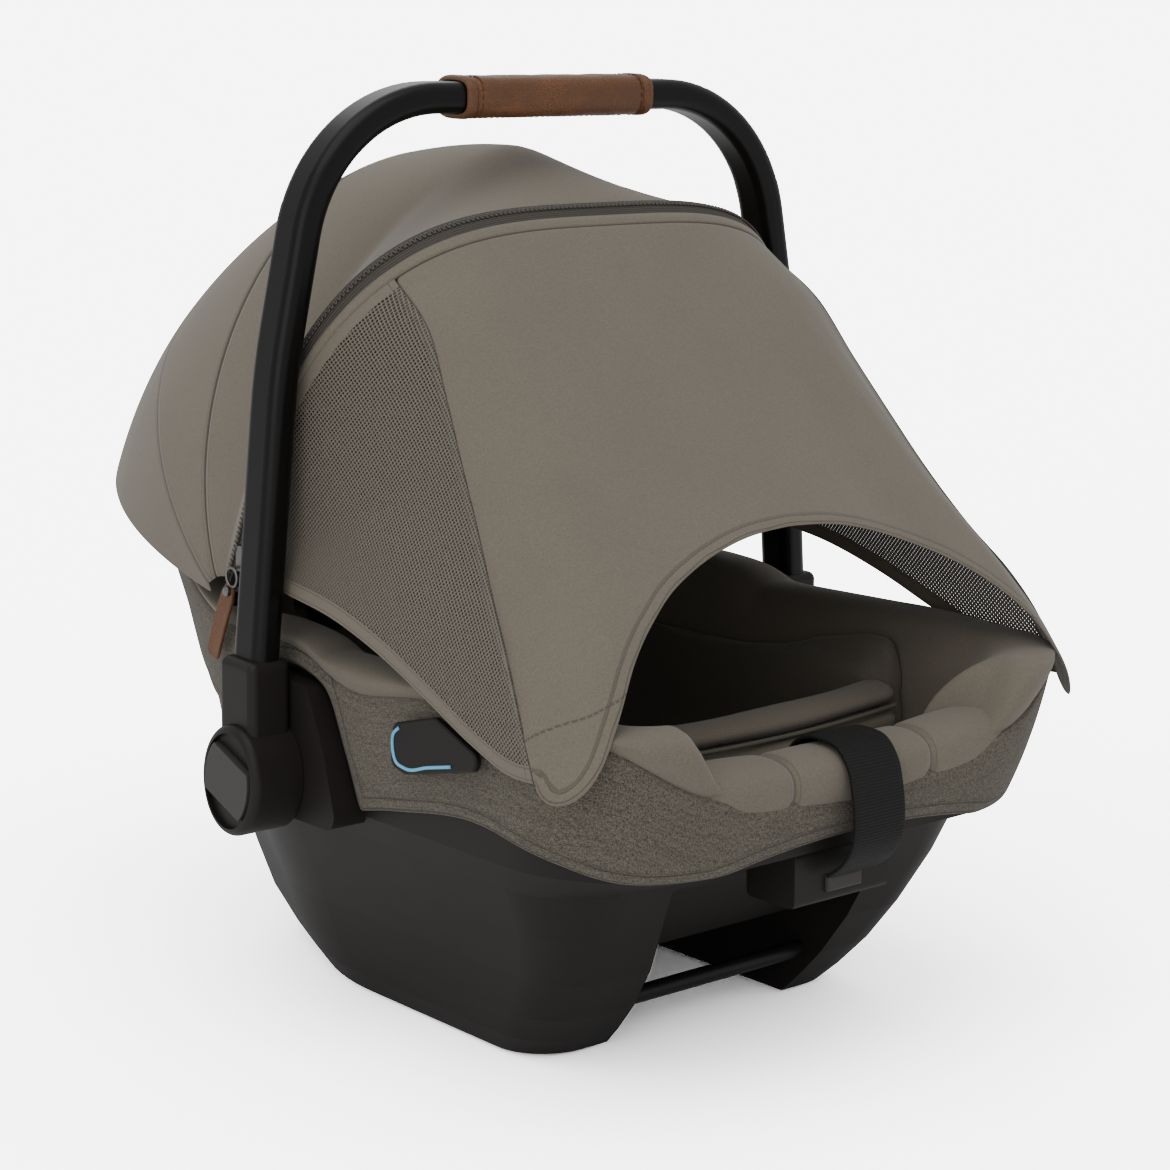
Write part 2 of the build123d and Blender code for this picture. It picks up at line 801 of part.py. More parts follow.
with BuildPart() as left_pivot_bolt:
    with BuildSketch(hub_plane(pocket_floor + seam)):
        Circle(bolt_head)
    extrude(amount=bolt_head_thick)
    with BuildSketch(hub_plane(pocket_floor + seam)):
        Circle(bolt_shank)
    extrude(amount=-15)
save(left_pivot_bolt.part, "left_pivot_bolt")
save(mirrored(left_pivot_bolt.part), "right_pivot_bolt")
with BuildPart() as left_button_spring:
    with BuildSketch(hub_plane(pocket_floor + seam + bolt_head_thick + 0.1)):
        Circle(9)
        Circle(7.6, mode=Mode.SUBTRACT)
    extrude(amount=button_back - pocket_floor - seam - bolt_head_thick - 0.2)
save(left_button_spring.part, "left_button_spring")
save(mirrored(left_button_spring.part), "right_button_spring")


def turn_plane(angle):
    """Plane through the canopy's axis, leaning toward the foot end by the angle."""
    turn = radians(angle)
    return Plane(
        origin=(0, canopy_y, canopy_z),
        x_dir=(1, 0, 0),
        z_dir=(0, -cos(turn), -sin(turn)),
    )


def arch_outline(values, shrink, foot):
    """Corners of an arch: straight sides, sloping shoulders and a flat crown."""
    half, side, shoulder, shoulder_up, crown, crown_up = values
    right = [
        (half - shrink, foot),
        (half - shrink, side),
        (shoulder - 0.8 * shrink, shoulder_up - 0.6 * shrink),
        (crown - 0.4 * shrink, crown_up - shrink),
    ]
    return right + [(-x, up) for x, up in reversed(right)]


def arch_face(plane, values, shrink, foot):
    """Face that fills an arch with rounded corners."""
    outline = arch_outline(values, shrink, foot)
    with BuildSketch(plane) as face:
        with BuildLine():
            FilletPolyline(*outline, radius=arch_radii + arch_radii[::-1])
            Line(outline[-1], outline[0])
        make_face()
    return face.sketch


def arch_band(plane, values, outside, inside, foot):
    """Face between two arches, open at the feet."""
    with BuildSketch(plane) as face:
        add(arch_face(Plane.XY, values, outside, foot))
        add(arch_face(Plane.XY, values, inside, foot - 10), mode=Mode.SUBTRACT)
    return face.sketch


def panel(values, outside, thick, start, end):
    """Fabric shell turned about the canopy's axis between two angles."""
    with BuildPart() as body:
        add(arch_band(turn_plane(start), values, -outside, thick, arch_foot))
        revolve(axis=turn_axis, revolution_arc=end - start)
    return body.part


def bow(values, angle):
    """Flat hoop inside a panel, with an eye at each end on the canopy's axis."""
    outside = fabric + bow_gap
    eye_x = values[0] - outside
    with BuildPart() as body:
        hoop = arch_band(turn_plane(angle), values, outside, outside + bow_thick, 2)
        extrude(hoop, amount=bow_wide / 2, both=True)
        for inner in (eye_x - bow_thick, -eye_x):
            with BuildSketch(Plane.YZ.offset(inner)):
                with Locations((canopy_y, canopy_z)):
                    Circle(bow_eye)
            extrude(amount=bow_thick)
        with BuildSketch(Plane.YZ.offset(-eye_x - 1)):
            with Locations((canopy_y, canopy_z)):
                Circle(pin_radius + pin_fit)
        extrude(amount=2 * eye_x + 2, mode=Mode.SUBTRACT)
    return body.part


# Canopy panels, widest at the front so that the front slides over the middle and that over the rear.
save(panel(front_arch, 0, fabric, front_seam - seam_lap, front_edge), "canopy_front_panel")
save(panel(middle_arch, 0, fabric, middle_seam - seam_lap, front_seam), "canopy_middle_panel")
with BuildPart() as canopy_rear_panel:
    add(panel(rear_arch, 0, fabric, rear_edge, middle_seam))
    add(below_line(rim_line, cover + seam), mode=Mode.SUBTRACT)
save(canopy_rear_panel.part, "canopy_rear_panel")
save(bow(front_arch, front_edge - 1.5), "front_bow")
save(bow(middle_arch, front_seam - 2), "middle_bow")
save(panel(front_arch, zip_proud, fabric, front_edge + 0.2, front_edge + 1.4), "canopy_zip")

# Drape: one taut sheet, divided by a seam into the top panel and a mesh panel on each side.
front_plane = Plane(origin=(0, drape_front, drape_low), x_dir=(1, 0, 0), z_dir=(0, -1, 0))


def drape_form(shrink, low):
    """Solid under the taut sheet, from the canopy's front edge to the front arch."""
    with BuildPart() as body:
        add(arch_face(turn_plane(front_edge + 1.8), front_arch, shrink - 1, arch_foot + low))
        add(arch_face(front_plane, drape_arch, shrink, low))
        loft()
    return body.part


with BuildPart() as drape_sheet_whole:
    add(drape_form(0, 0))
    add(drape_form(drape_sheet, -6), mode=Mode.SUBTRACT)
    add(below_line(drape_hem, 0), mode=Mode.SUBTRACT)
with BuildPart() as side_space:
    with BuildSketch(Plane.YZ):
        with BuildLine():
            Polyline(
                drape_seam_top,
                drape_seam_foot,
                (drape_seam_foot[0], 100),
                (200, 100),
                (200, drape_seam_top[1]),
                close=True,
            )
        make_face()
    extrude(amount=230)
with BuildPart() as drape_top:
    add(drape_sheet_whole.part)
    add(pair(side_space.part), mode=Mode.SUBTRACT)
save(drape_top.part, "drape_top")
with BuildPart() as left_drape_mesh:
    add(drape_sheet_whole.part)
    add(side_space.part, mode=Mode.INTERSECT)
save(left_drape_mesh.part, "left_drape_mesh")
save(mirrored(left_drape_mesh.part), "right_drape_mesh")

# Zip slider near the foot of the zip on the right, with a pull that swings on its pin.
zip_turn = radians(front_edge + 0.8)
slider_y = canopy_y - slider_reach * sin(zip_turn)
slider_z = canopy_z + slider_reach * cos(zip_turn)
zip_face = front_arch[0] + zip_proud
slider_in = zip_face + 0.1
slider_out = slider_in + slider_thick
slider_low = slider_z - slider_tall / 2
hinge_z = slider_low - 5
with BuildPart() as zip_slider:
    add(block(-slider_out, -slider_in, slider_y - 4, slider_y + 4, slider_low, slider_low + slider_tall))
    fillet(zip_slider.edges().filter_by(Axis.X), radius=2)
    add(block(-slider_out - 1.4, -slider_out, slider_y - 3, slider_y + 3, hinge_z - 3, slider_z))
    with BuildSketch(Plane.YZ.offset(-slider_out - 1)):
        with Locations((slider_y, hinge_z)):
            Circle(hinge_radius)
    extrude(amount=slider_thick + 0.6)
save(zip_slider.part, "zip_slider")
pull_plane = Plane(origin=(-slider_out + seam, slider_y, hinge_z), x_dir=(0, 1, 0), z_dir=(1, 0, 0))
with BuildPart() as zip_pull:
    with BuildSketch(pull_plane):
        Circle(4)
        with Locations((2.2, -8)):
            Rectangle(6, 16, rotation=14)
        with Locations((9, -36)):
            RectangleRounded(13, 50, 4, rotation=14)
        Circle(hinge_radius + pin_fit, mode=Mode.SUBTRACT)
    extrude(amount=slider_thick - 2 * seam)
save(zip_pull.part, "zip_pull")
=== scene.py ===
"""Infant car seat: soft goods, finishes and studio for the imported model."""

from math import cos, pi, radians, sin

import bpy
import numpy as np
from bpy.props import FloatProperty, FloatVectorProperty, PointerProperty
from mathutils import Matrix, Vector


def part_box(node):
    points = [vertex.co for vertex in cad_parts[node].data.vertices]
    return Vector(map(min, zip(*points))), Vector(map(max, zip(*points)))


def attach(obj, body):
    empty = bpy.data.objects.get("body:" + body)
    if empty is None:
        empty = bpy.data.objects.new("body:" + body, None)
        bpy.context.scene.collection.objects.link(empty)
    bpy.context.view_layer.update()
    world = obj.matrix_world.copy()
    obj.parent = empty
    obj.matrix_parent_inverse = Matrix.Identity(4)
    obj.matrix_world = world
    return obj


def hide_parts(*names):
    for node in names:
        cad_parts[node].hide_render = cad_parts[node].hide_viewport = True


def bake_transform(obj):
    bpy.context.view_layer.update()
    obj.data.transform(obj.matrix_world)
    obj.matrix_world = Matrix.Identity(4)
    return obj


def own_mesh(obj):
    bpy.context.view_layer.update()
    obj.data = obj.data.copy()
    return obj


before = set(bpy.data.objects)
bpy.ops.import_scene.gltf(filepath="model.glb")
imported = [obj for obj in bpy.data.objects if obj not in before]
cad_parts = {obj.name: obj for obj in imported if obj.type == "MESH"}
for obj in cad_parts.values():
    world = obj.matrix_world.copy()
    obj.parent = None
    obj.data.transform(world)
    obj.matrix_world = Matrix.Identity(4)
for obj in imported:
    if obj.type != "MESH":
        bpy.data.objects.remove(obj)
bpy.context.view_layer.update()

bl_info = {
    "name": "Infant car seat",
    "version": (1, 0, 0),
    "blender": (4, 5, 0),
    "location": "3D View > Sidebar > Car seat",
    "description": "Dresses the packed car seat with its cloth, leather and finishes",
    "category": "Object",
}

# All sizes in the tables and in the modelling code are in mm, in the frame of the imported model.
# Outlines of the shell and the bucket at rising heights: height, half width, front end, head end,
# front corner, where the sides start to taper, half width of the head end.
SHELL = (
    (58, 141, -212, 191, 34, 40, 84),
    (90, 153, -228, 203, 36, 44, 85),
    (118, 164, -242, 211, 48, 48, 86),
    (134, 171, -288, 213, 84, 50, 87),
    (215, 179, -302, 238, 58, 70, 88),
    (335, 172, -300, 313.8, 58, 122, 98),
)
BUCKET = (
    (62, 92, -180, 100, 30, 20, 50),
    (100, 124, -212, 152, 34, 30, 60),
    (124, 140, -226, 174, 40, 38, 66),
    (142, 150, -277, 190, 70, 46, 72),
    (215, 165, -284, 222, 50, 66, 80),
    (335, 158, -283, 297, 50, 118, 88),
)
# Height of the rim and of the cover's hem along the seat, from the foot end to the head end.
RIM = (
    (-330, 211), (-290, 212), (-240, 215), (-120, 217), (0, 217), (50, 221),
    (92, 236), (150, 268), (205, 290), (260, 303), (330, 311),
)
HEM = (
    (-330, 138), (-284, 134), (-250, 144), (-190, 155), (-110, 145), (-40, 132), (20, 138),
    (62, 170), (110, 177), (170, 173), (200, 176), (222, 212), (240, 236), (330, 256),
)
# Height of the seam between the woven cover and the knit rim along the sides, and across the front.
SEAM = (
    (-330, 214), (-240, 215), (-200, 217), (-145, 216), (-117, 212), (-89, 208), (-74, 209), (-60, 213),
    (-36, 222), (0, 226), (50, 227), (92, 240), (150, 271), (205, 293), (260, 306), (330, 314),
)
FRONT_SEAM = ((0, 168), (60, 170), (100, 176), (126, 185), (148, 201), (163, 213), (180, 217))
# Upper edge of the opening in the cover round each handle bracket.
WINDOW = (
    (-82, 120), (-80, 128), (-68, 174), (-54, 208), (-48, 211),
    (-6, 214), (2, 212), (15.6, 199), (17, 192), (18, 120),
)
# The canopy's axis in side view, its middle in the frame, and the power of the zip's arch.
CANOPY_AXIS = (43.0, 242.0)
CANOPY_MIDDLE = (0, *CANOPY_AXIS)
ZIP_POWER = 3.6
WEBBING_WIDTH, WEBBING_THICK = 38, 2.0
SIDES = (("left", 1), ("right", -1))


def length(name, description, default):
    """Length that the panel shows."""
    return FloatProperty(name=name, description=description, default=default, unit="LENGTH")


def colour_of(name, description, default):
    """Colour that the panel shows."""
    return FloatVectorProperty(name=name, description=description, default=default, subtype="COLOR")


class CanopySizes(bpy.types.PropertyGroup):
    """Sizes of the canopy and the drape."""

    front_width: length("Front half width", "Half width of the canopy at its zip", 0.188)
    front_rise: length("Front rise", "Height of the zip above the canopy's axis", 0.256)
    sag: length("Sag", "How far the cloth hangs between the bows", 0.0018)
    cloth: length("Cloth", "Thickness of the canopy cloth", 0.0014)
    tooth_pitch: length("Zip pitch", "Distance from one zip tooth to the next", 0.0016)
    mesh_pitch: length("Mesh pitch", "Distance between the holes of the side panels", 0.0021)


class FabricColours(bpy.types.PropertyGroup):
    """Colours of the soft pieces."""

    knit: colour_of("Knit", "Taupe of the canopy and the padding", (0.144, 0.124, 0.095))
    woven_light: colour_of("Weave, light yarn", "Light yarn of the cover", (0.150, 0.130, 0.096))
    woven_dark: colour_of("Weave, dark yarn", "Dark yarn of the cover", (0.024, 0.021, 0.0165))
    leather: colour_of("Leather", "Tan of the grip and the zip pull", (0.132, 0.050, 0.0155))
    plastic: colour_of("Plastic", "Brown black of the shell", (0.0125, 0.0102, 0.0092))
    metal: colour_of("Handle", "Satin black of the tube", (0.0026, 0.0023, 0.0022))


class StudioSettings(bpy.types.PropertyGroup):
    """Light and camera."""

    lens: FloatProperty(name="Lens", description="Focal length in mm on a 36 mm sensor", default=86.15)
    key: FloatProperty(
        name="Key light", description="Power of the large light overhead", default=26.0, unit="POWER"
    )
    fill: FloatProperty(
        name="Fill light", description="Power of the light at the left front", default=14.0, unit="POWER"
    )
    backdrop: FloatProperty(
        name="Backdrop", description="Brightness of the white behind the seat", default=7.0
    )
    surround: FloatProperty(name="Surround", description="Strength of the white room", default=0.75)


def mix(start, end, share):
    """Value between two others."""
    return start + (end - start) * share


def ease(start, end, value):
    """Smooth step from 0 to 1 between two values."""
    share = np.clip((value - start) / (end - start), 0, 1)
    return share * share * (3 - 2 * share)


def resample(points, count):
    """A line divided into equal lengths."""
    points = np.asarray(points, float)
    steps = np.concatenate([[0], np.cumsum(np.linalg.norm(np.diff(points, axis=0), axis=1))])
    places = np.linspace(0, steps[-1], count + 1)
    return np.stack([np.interp(places, steps, points[:, axis]) for axis in range(points.shape[1])], axis=1)


def smooth_line(points, count):
    """Smooth line through points, divided into equal lengths."""
    points = np.asarray(points, float)
    if len(points) == 2:
        return resample(points, count)
    knots = np.concatenate([[0], np.cumsum(np.linalg.norm(np.diff(points, axis=0), axis=1))])
    slopes = np.gradient(points, knots, axis=0)
    places = np.linspace(0, knots[-1], 600)
    part = np.clip(np.searchsorted(knots, places, side="right") - 1, 0, len(knots) - 2)
    span = (knots[part + 1] - knots[part])[:, None]
    share = (places[:, None] - knots[part][:, None]) / span
    line = (
        (1 + 2 * share) * (1 - share) ** 2 * points[part]
        + share * (1 - share) ** 2 * span * slopes[part]
        + share**2 * (3 - 2 * share) * points[part + 1]
        + share**2 * (share - 1) * span * slopes[part + 1]
    )
    return resample(line, count)


def height_line(points):
    """Function that gives a smooth height along the seat."""
    line = smooth_line(points, 500)
    return lambda place: np.interp(place, line[:, 0], line[:, 1])


rim_height = height_line(RIM)
hem_height = height_line(HEM)


def rounded(corners, radii):
    """Open line through corners, each but the ends rounded by its radius."""
    corners = np.asarray(corners, float)
    line = [corners[0]]
    for before, corner, after, radius in zip(corners, corners[1:], corners[2:], radii):
        back, ahead = before - corner, after - corner
        back_length, ahead_length = np.linalg.norm(back), np.linalg.norm(ahead)
        back, ahead = back / back_length, ahead / ahead_length
        half = np.arccos(np.clip(back @ ahead, -1, 1)) / 2
        reach = min(radius / np.tan(half), 0.98 * back_length, 0.98 * ahead_length)
        middle = (back + ahead) / np.linalg.norm(back + ahead)
        centre = corner + middle * reach / np.cos(half)
        start, end = corner + back * reach - centre, corner + ahead * reach - centre
        sweep = pi - 2 * half
        for share in np.linspace(0, 1, 24):
            arc = np.sin((1 - share) * sweep) * start + np.sin(share * sweep) * end
            line.append(centre + arc / np.sin(sweep))
    line.append(corners[-1])
    return np.array(line)


def half_loop(levels, height, grow, ahead=32, behind=28):
    """Half of the tapered outline at a height, from the head end round the left to the foot end."""
    rows = np.array(levels, float)
    half, front, head, near, hip, neck = [
        np.interp(height, rows[:, 0], rows[:, column]) for column in range(1, rows.shape[1])
    ]
    taper = np.arctan2(half - neck, head - hip)
    hip += grow * np.tan(taper / 2)
    neck += grow * np.tan((pi / 2 - taper) / 2)
    half, front, head = half + grow, front - grow, head + grow
    corners = ((0, head), (neck, head), (half, hip), (half, front), (0, front))
    line = rounded(corners, (max(0.9 * neck, 8), 160, max(near + grow, 8)))
    depth = -line[:, 1] + np.arange(len(line)) * 1e-7
    high, low = SIDE_PLACES[0], SIDE_PLACES[-1]
    sides = [(np.interp(-place, depth, line[:, 0]), place) for place in SIDE_PLACES]
    upper = np.vstack([line[line[:, 1] > high + 0.01], [sides[0]]])
    lower = np.vstack([[sides[-1]], line[line[:, 1] < low - 0.01]])
    return np.vstack([resample(upper, behind)[:-1], sides, resample(lower, ahead)[1:]])


# Places along each side where the outlines get a point, closer together round the handle brackets.
SIDE_PLACES = (
    *(85, 78, 71, 64, 57, 50, 43, 36, 29, 24, 20, 18.2, 17, 15.4, 12, 8, 3, -3, -10, -18, -26, -34, -41),
    *(-47, -50, -53, -56, -59, -62, -65, -68, -70, -72, -74, -76, -78, -80.5, -84, -90, -98, -107, -116),
    *(-125, -134, -143, -152, -161, -170),
)


def deselect():
    """Leaves object mode with nothing selected."""
    if bpy.context.object and bpy.context.object.mode != "OBJECT":
        bpy.ops.object.mode_set(mode="OBJECT")
    bpy.ops.object.select_all(action="DESELECT")


def pick(piece):
    """Makes a piece the only one selected."""
    deselect()
    piece.select_set(True)
    bpy.context.view_layer.objects.active = piece


def apply_modifier(piece, kind, **settings):
    """Adds a modifier with its settings and applies it."""
    pick(piece)
    modifier = piece.modifiers.new(kind.title(), kind)
    for name, value in settings.items():
        setattr(modifier, name, value)
    bpy.ops.object.modifier_apply(modifier=modifier.name)


def edit(piece, *steps):
    """Runs edit-mode operators on the whole of a piece."""
    pick(piece)
    bpy.ops.object.mode_set(mode="EDIT")
    bpy.ops.mesh.select_all(action="SELECT")
    for step, settings in steps:
        step(**settings)
    bpy.ops.object.mode_set(mode="OBJECT")


def read(items, name, wide=1, kind=float):
    """Values of a mesh's points, corners or faces as a table."""
    values = np.empty(len(items) * wide, kind)
    items.foreach_get(name, values)
    return values.reshape(-1, wide) if wide > 1 else values


def weld(piece, threshold):
    """Merges the points that meet and turns the faces outwards."""
    merge = (bpy.ops.mesh.remove_doubles, {"threshold": threshold})
    edit(piece, merge, (bpy.ops.mesh.normals_make_consistent, {"inside": False}))


def lay_sheet(name, points, closed=False, away=(0, 0, 200)):
    """Grid primitive laid on a table of points in mm, columns by rows, facing away from a point."""
    points = np.asarray(points, float)
    columns, rows = points.shape[:2]
    deselect()
    bpy.ops.mesh.primitive_grid_add(
        x_subdivisions=columns - 1, y_subdivisions=rows - 1, size=2, calc_uvs=True
    )
    piece = bpy.context.active_object
    piece.name = piece.data.name = name
    mesh = piece.data
    if len(mesh.vertices) != columns * rows:
        raise RuntimeError(f"{name}: the grid has {len(mesh.vertices)} points, not {columns * rows}")
    flat = read(mesh.vertices, "co", 3)
    column = np.rint((flat[:, 0] + 1) / 2 * (columns - 1)).astype(int)
    row = np.rint((flat[:, 1] + 1) / 2 * (rows - 1)).astype(int)
    mesh.vertices.foreach_set("co", (points[column, row] / 1000).ravel())
    across = np.linalg.norm(np.diff(points, axis=0), axis=2)
    across = np.concatenate([np.zeros((1, rows)), np.cumsum(across, axis=0)])
    across -= across[(columns - 1) // 2]
    down = np.linalg.norm(np.diff(points, axis=1), axis=2)
    down = np.concatenate([np.zeros((columns, 1)), np.cumsum(down, axis=1)], axis=1)
    corner = read(mesh.loops, "vertex_index", kind=int)
    spot = column[corner], row[corner]
    cloth = np.stack([across[spot], down[spot]], axis=1) / 1000
    mesh.uv_layers[0].data.foreach_set("uv", cloth.ravel())
    note(piece, "column", column)
    note(piece, "row", row)
    mesh.update()
    centres, normals = read(mesh.polygons, "center", 3), read(mesh.polygons, "normal", 3)
    out = ((centres - np.array(away) / 1000) * normals).sum(axis=1) @ read(mesh.polygons, "area")
    steps = [(bpy.ops.mesh.flip_normals, {})] if out < 0 else []
    if closed:
        steps.append((bpy.ops.mesh.remove_doubles, {"threshold": 0.00002}))
    if steps:
        edit(piece, *steps)
    return piece


def lay_cloth(piece, layer, places):
    """Lays a cloth map on a piece as seen from the side, from places in mm."""
    corner = read(piece.data.loops, "vertex_index", kind=int)
    layer.data.foreach_set("uv", (places[corner][:, 1:] / 1000).ravel())


def note(piece, name, values):
    """Stores a value at each point for the shaders."""
    mesh = piece.data
    layer = mesh.attributes.get(name) or mesh.attributes.new(name, "FLOAT", "POINT")
    layer.data.foreach_set("value", np.asarray(values, float).ravel())


def noted(piece, name):
    """Reads a stored value back."""
    return read(piece.data.attributes[name].data, "value")


def spots(piece):
    """Points of a piece in mm."""
    return read(piece.data.vertices, "co", 3) * 1000


def move_spots(piece, places):
    """Puts the points of a piece at places in mm."""
    piece.data.vertices.foreach_set("co", (np.asarray(places) / 1000).ravel())
    piece.data.update()


def thicken(piece, thick):
    """Gives a sheet its thickness, inwards."""
    even = {"use_even_offset": True, "use_quality_normals": True}
    apply_modifier(piece, "SOLIDIFY", thickness=thick / 1000, offset=-1, **even)


def soften(piece, angle):
    """Subdivides a piece once and shades it smooth."""
    apply_modifier(piece, "SUBSURF", levels=1, render_levels=1)
    smooth(piece, angle)


def smooth(piece, angle):
    """Smooth shading that keeps sharp corners."""
    pick(piece)
    bpy.ops.object.shade_smooth_by_angle(angle=radians(angle))


def piping(name, line, radius, sides=3):
    """Round cord along a line of points in mm, as a mesh."""
    data = bpy.data.curves.new(name, "CURVE")
    data.dimensions = "3D"
    data.bevel_depth = radius / 1000
    data.bevel_resolution = sides
    data.use_fill_caps = True
    line = np.asarray(line) / 1000
    spline = data.splines.new("POLY")
    spline.points.add(len(line) - 1)
    spline.points.foreach_set("co", np.hstack([line, np.ones((len(line), 1))]).ravel())
    piece = bpy.data.objects.new(name, data)
    bpy.context.collection.objects.link(piece)
    pick(piece)
    bpy.ops.object.convert(target="MESH")
    piece = bpy.context.active_object
    smooth(piece, 60)
    return piece


def repeat(name, seed, frames):
    """One mesh of copies of a small seed piece, each set by three axes and a place in mm."""
    base = spots(seed)
    faces = [list(face.vertices) for face in seed.data.polygons]
    points, polygons = [], []
    for axes, place in frames:
        start = len(points) * len(base)
        points.append(base @ np.asarray(axes) + place)
        polygons += [[start + corner for corner in face] for face in faces]
    mesh = bpy.data.meshes.new(name)
    mesh.from_pydata(np.vstack(points) / 1000, [], polygons)
    piece = bpy.data.objects.new(name, mesh)
    bpy.context.collection.objects.link(piece)
    bpy.data.objects.remove(seed)
    return piece


def join(name, pieces):
    """Joins pieces into one."""
    deselect()
    for piece in pieces:
        piece.select_set(True)
    bpy.context.view_layer.objects.active = pieces[0]
    bpy.ops.object.join()
    pieces[0].name = pieces[0].data.name = name
    return pieces[0]


def dress(piece, finish, slot, *hidden):
    """Gives a piece its material and hides the nodes that it stands for. The slot is not used."""
    piece.data.materials.clear()
    piece.data.materials.append(finish)
    if hidden:
        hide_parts(*hidden)
    return piece


class Signal:
    """Value of a shader socket that takes part in Python expressions."""

    def __init__(self, socket):
        self.socket = socket

    def node(self, kind, settings=None, inputs=None, output=0):
        """Adds a node to the same tree and returns one of its outputs."""
        tree = self.socket.id_data
        added = tree.nodes.new(kind)
        for name, value in (settings or {}).items():
            setattr(added, name, value)
        for name, value in (inputs or {}).items():
            if isinstance(value, Signal):
                tree.links.new(value.socket, added.inputs[name])
            else:
                added.inputs[name].default_value = value
        return Signal(added.outputs[output])

    def maths(self, operation, *others):
        """Result of a Math node on this value and others."""
        return self.node("ShaderNodeMath", {"operation": operation}, dict(enumerate((self, *others))))

    def __add__(self, other):
        return self.maths("ADD", other)

    __radd__ = __add__

    def __sub__(self, other):
        return self.maths("SUBTRACT", other)

    def __rsub__(self, other):
        return self.node("ShaderNodeMath", {"operation": "SUBTRACT"}, {0: other, 1: self})

    def __mul__(self, other):
        return self.maths("MULTIPLY", other)

    __rmul__ = __mul__

    def __truediv__(self, other):
        return self.maths("DIVIDE", other)

    def step(self, start, end):
        """Smooth rise from 0 to 1 between two values."""
        inputs = {"Value": self, "From Min": start, "From Max": end}
        return self.node("ShaderNodeMapRange", {"interpolation_type": "SMOOTHSTEP"}, inputs)

    def blend(self, first, second):
        """Colour between two colours, by this value."""
        return self.node("ShaderNodeMix", {"data_type": "RGBA"}, {0: self, 6: first, 7: second}, 2)

    def scaled(self, scale):
        """Coordinates stretched on each axis."""
        return self.node("ShaderNodeVectorMath", {"operation": "MULTIPLY"}, {0: self, 1: scale})

    def noise(self, scale, detail=2.0, rough=0.5):
        """Noise over these coordinates."""
        inputs = {"Vector": self, "Scale": scale, "Detail": detail, "Roughness": rough}
        return self.node("ShaderNodeTexNoise", None, inputs)

    def cells(self, scale):
        """Distance to the edges of cells over these coordinates."""
        inputs = {"Vector": self, "Scale": scale}
        return self.node("ShaderNodeTexVoronoi", {"feature": "DISTANCE_TO_EDGE"}, inputs)

    def part(self, axis):
        """One axis of these coordinates."""
        return self.node("ShaderNodeSeparateXYZ", None, {0: self}, axis)


class Finish:
    """Material with one Principled shader."""

    def __init__(self, name, **constants):
        self.material = bpy.data.materials.new(name)
        self.material.use_nodes = True
        self.tree = self.material.node_tree
        self.shader = self.tree.nodes["Principled BSDF"]
        self.start = Signal(self.shader.outputs[0])
        for socket, value in constants.items():
            self.shader.inputs[socket.replace("_", " ")].default_value = value
        self.place = self.start.node("ShaderNodeTexCoord", None, None, 3)

    def cloth(self):
        """Coordinates in metres along the piece's own cloth."""
        return self.start.node("ShaderNodeUVMap")

    def stored(self, name):
        """Value stored at the points of the piece."""
        return self.start.node("ShaderNodeAttribute", {"attribute_name": name}, None, 2)

    def feed(self, **links):
        """Links values to the shader's sockets."""
        for socket, value in links.items():
            self.tree.links.new(value.socket, self.shader.inputs[socket.replace("_", " ")])

    def bump(self, height, depth, strength=1.0, under=None):
        """Surface relief of a depth in metres."""
        inputs = {"Height": height, "Distance": depth, "Strength": strength}
        if under:
            inputs["Normal"] = under
        return self.start.node("ShaderNodeBump", None, inputs)


finishes = {}


def rgb(colour, gain=1.0):
    """Colour with its alpha, brightened or darkened."""
    return (*[min(channel * gain, 1) for channel in colour], 1)


def near(distance, place, wide):
    """1 on a thin line at a distance from an edge, 0 elsewhere."""
    return 1 - (distance - place).maths("ABSOLUTE").step(wide * 0.5, wide)


def topstitch(along, distance, rows, thread=0.0005, pitch=0.0032):
    """Dashed lines of thread at some distances from an edge."""
    dashes = (along / pitch).maths("FRACT")
    dashes = dashes.step(0.04, 0.16) - dashes.step(0.80, 0.92)
    lines = near(distance, rows[0], thread)
    for row in rows[1:]:
        lines = lines + near(distance, row, thread)
    return lines * dashes, lines


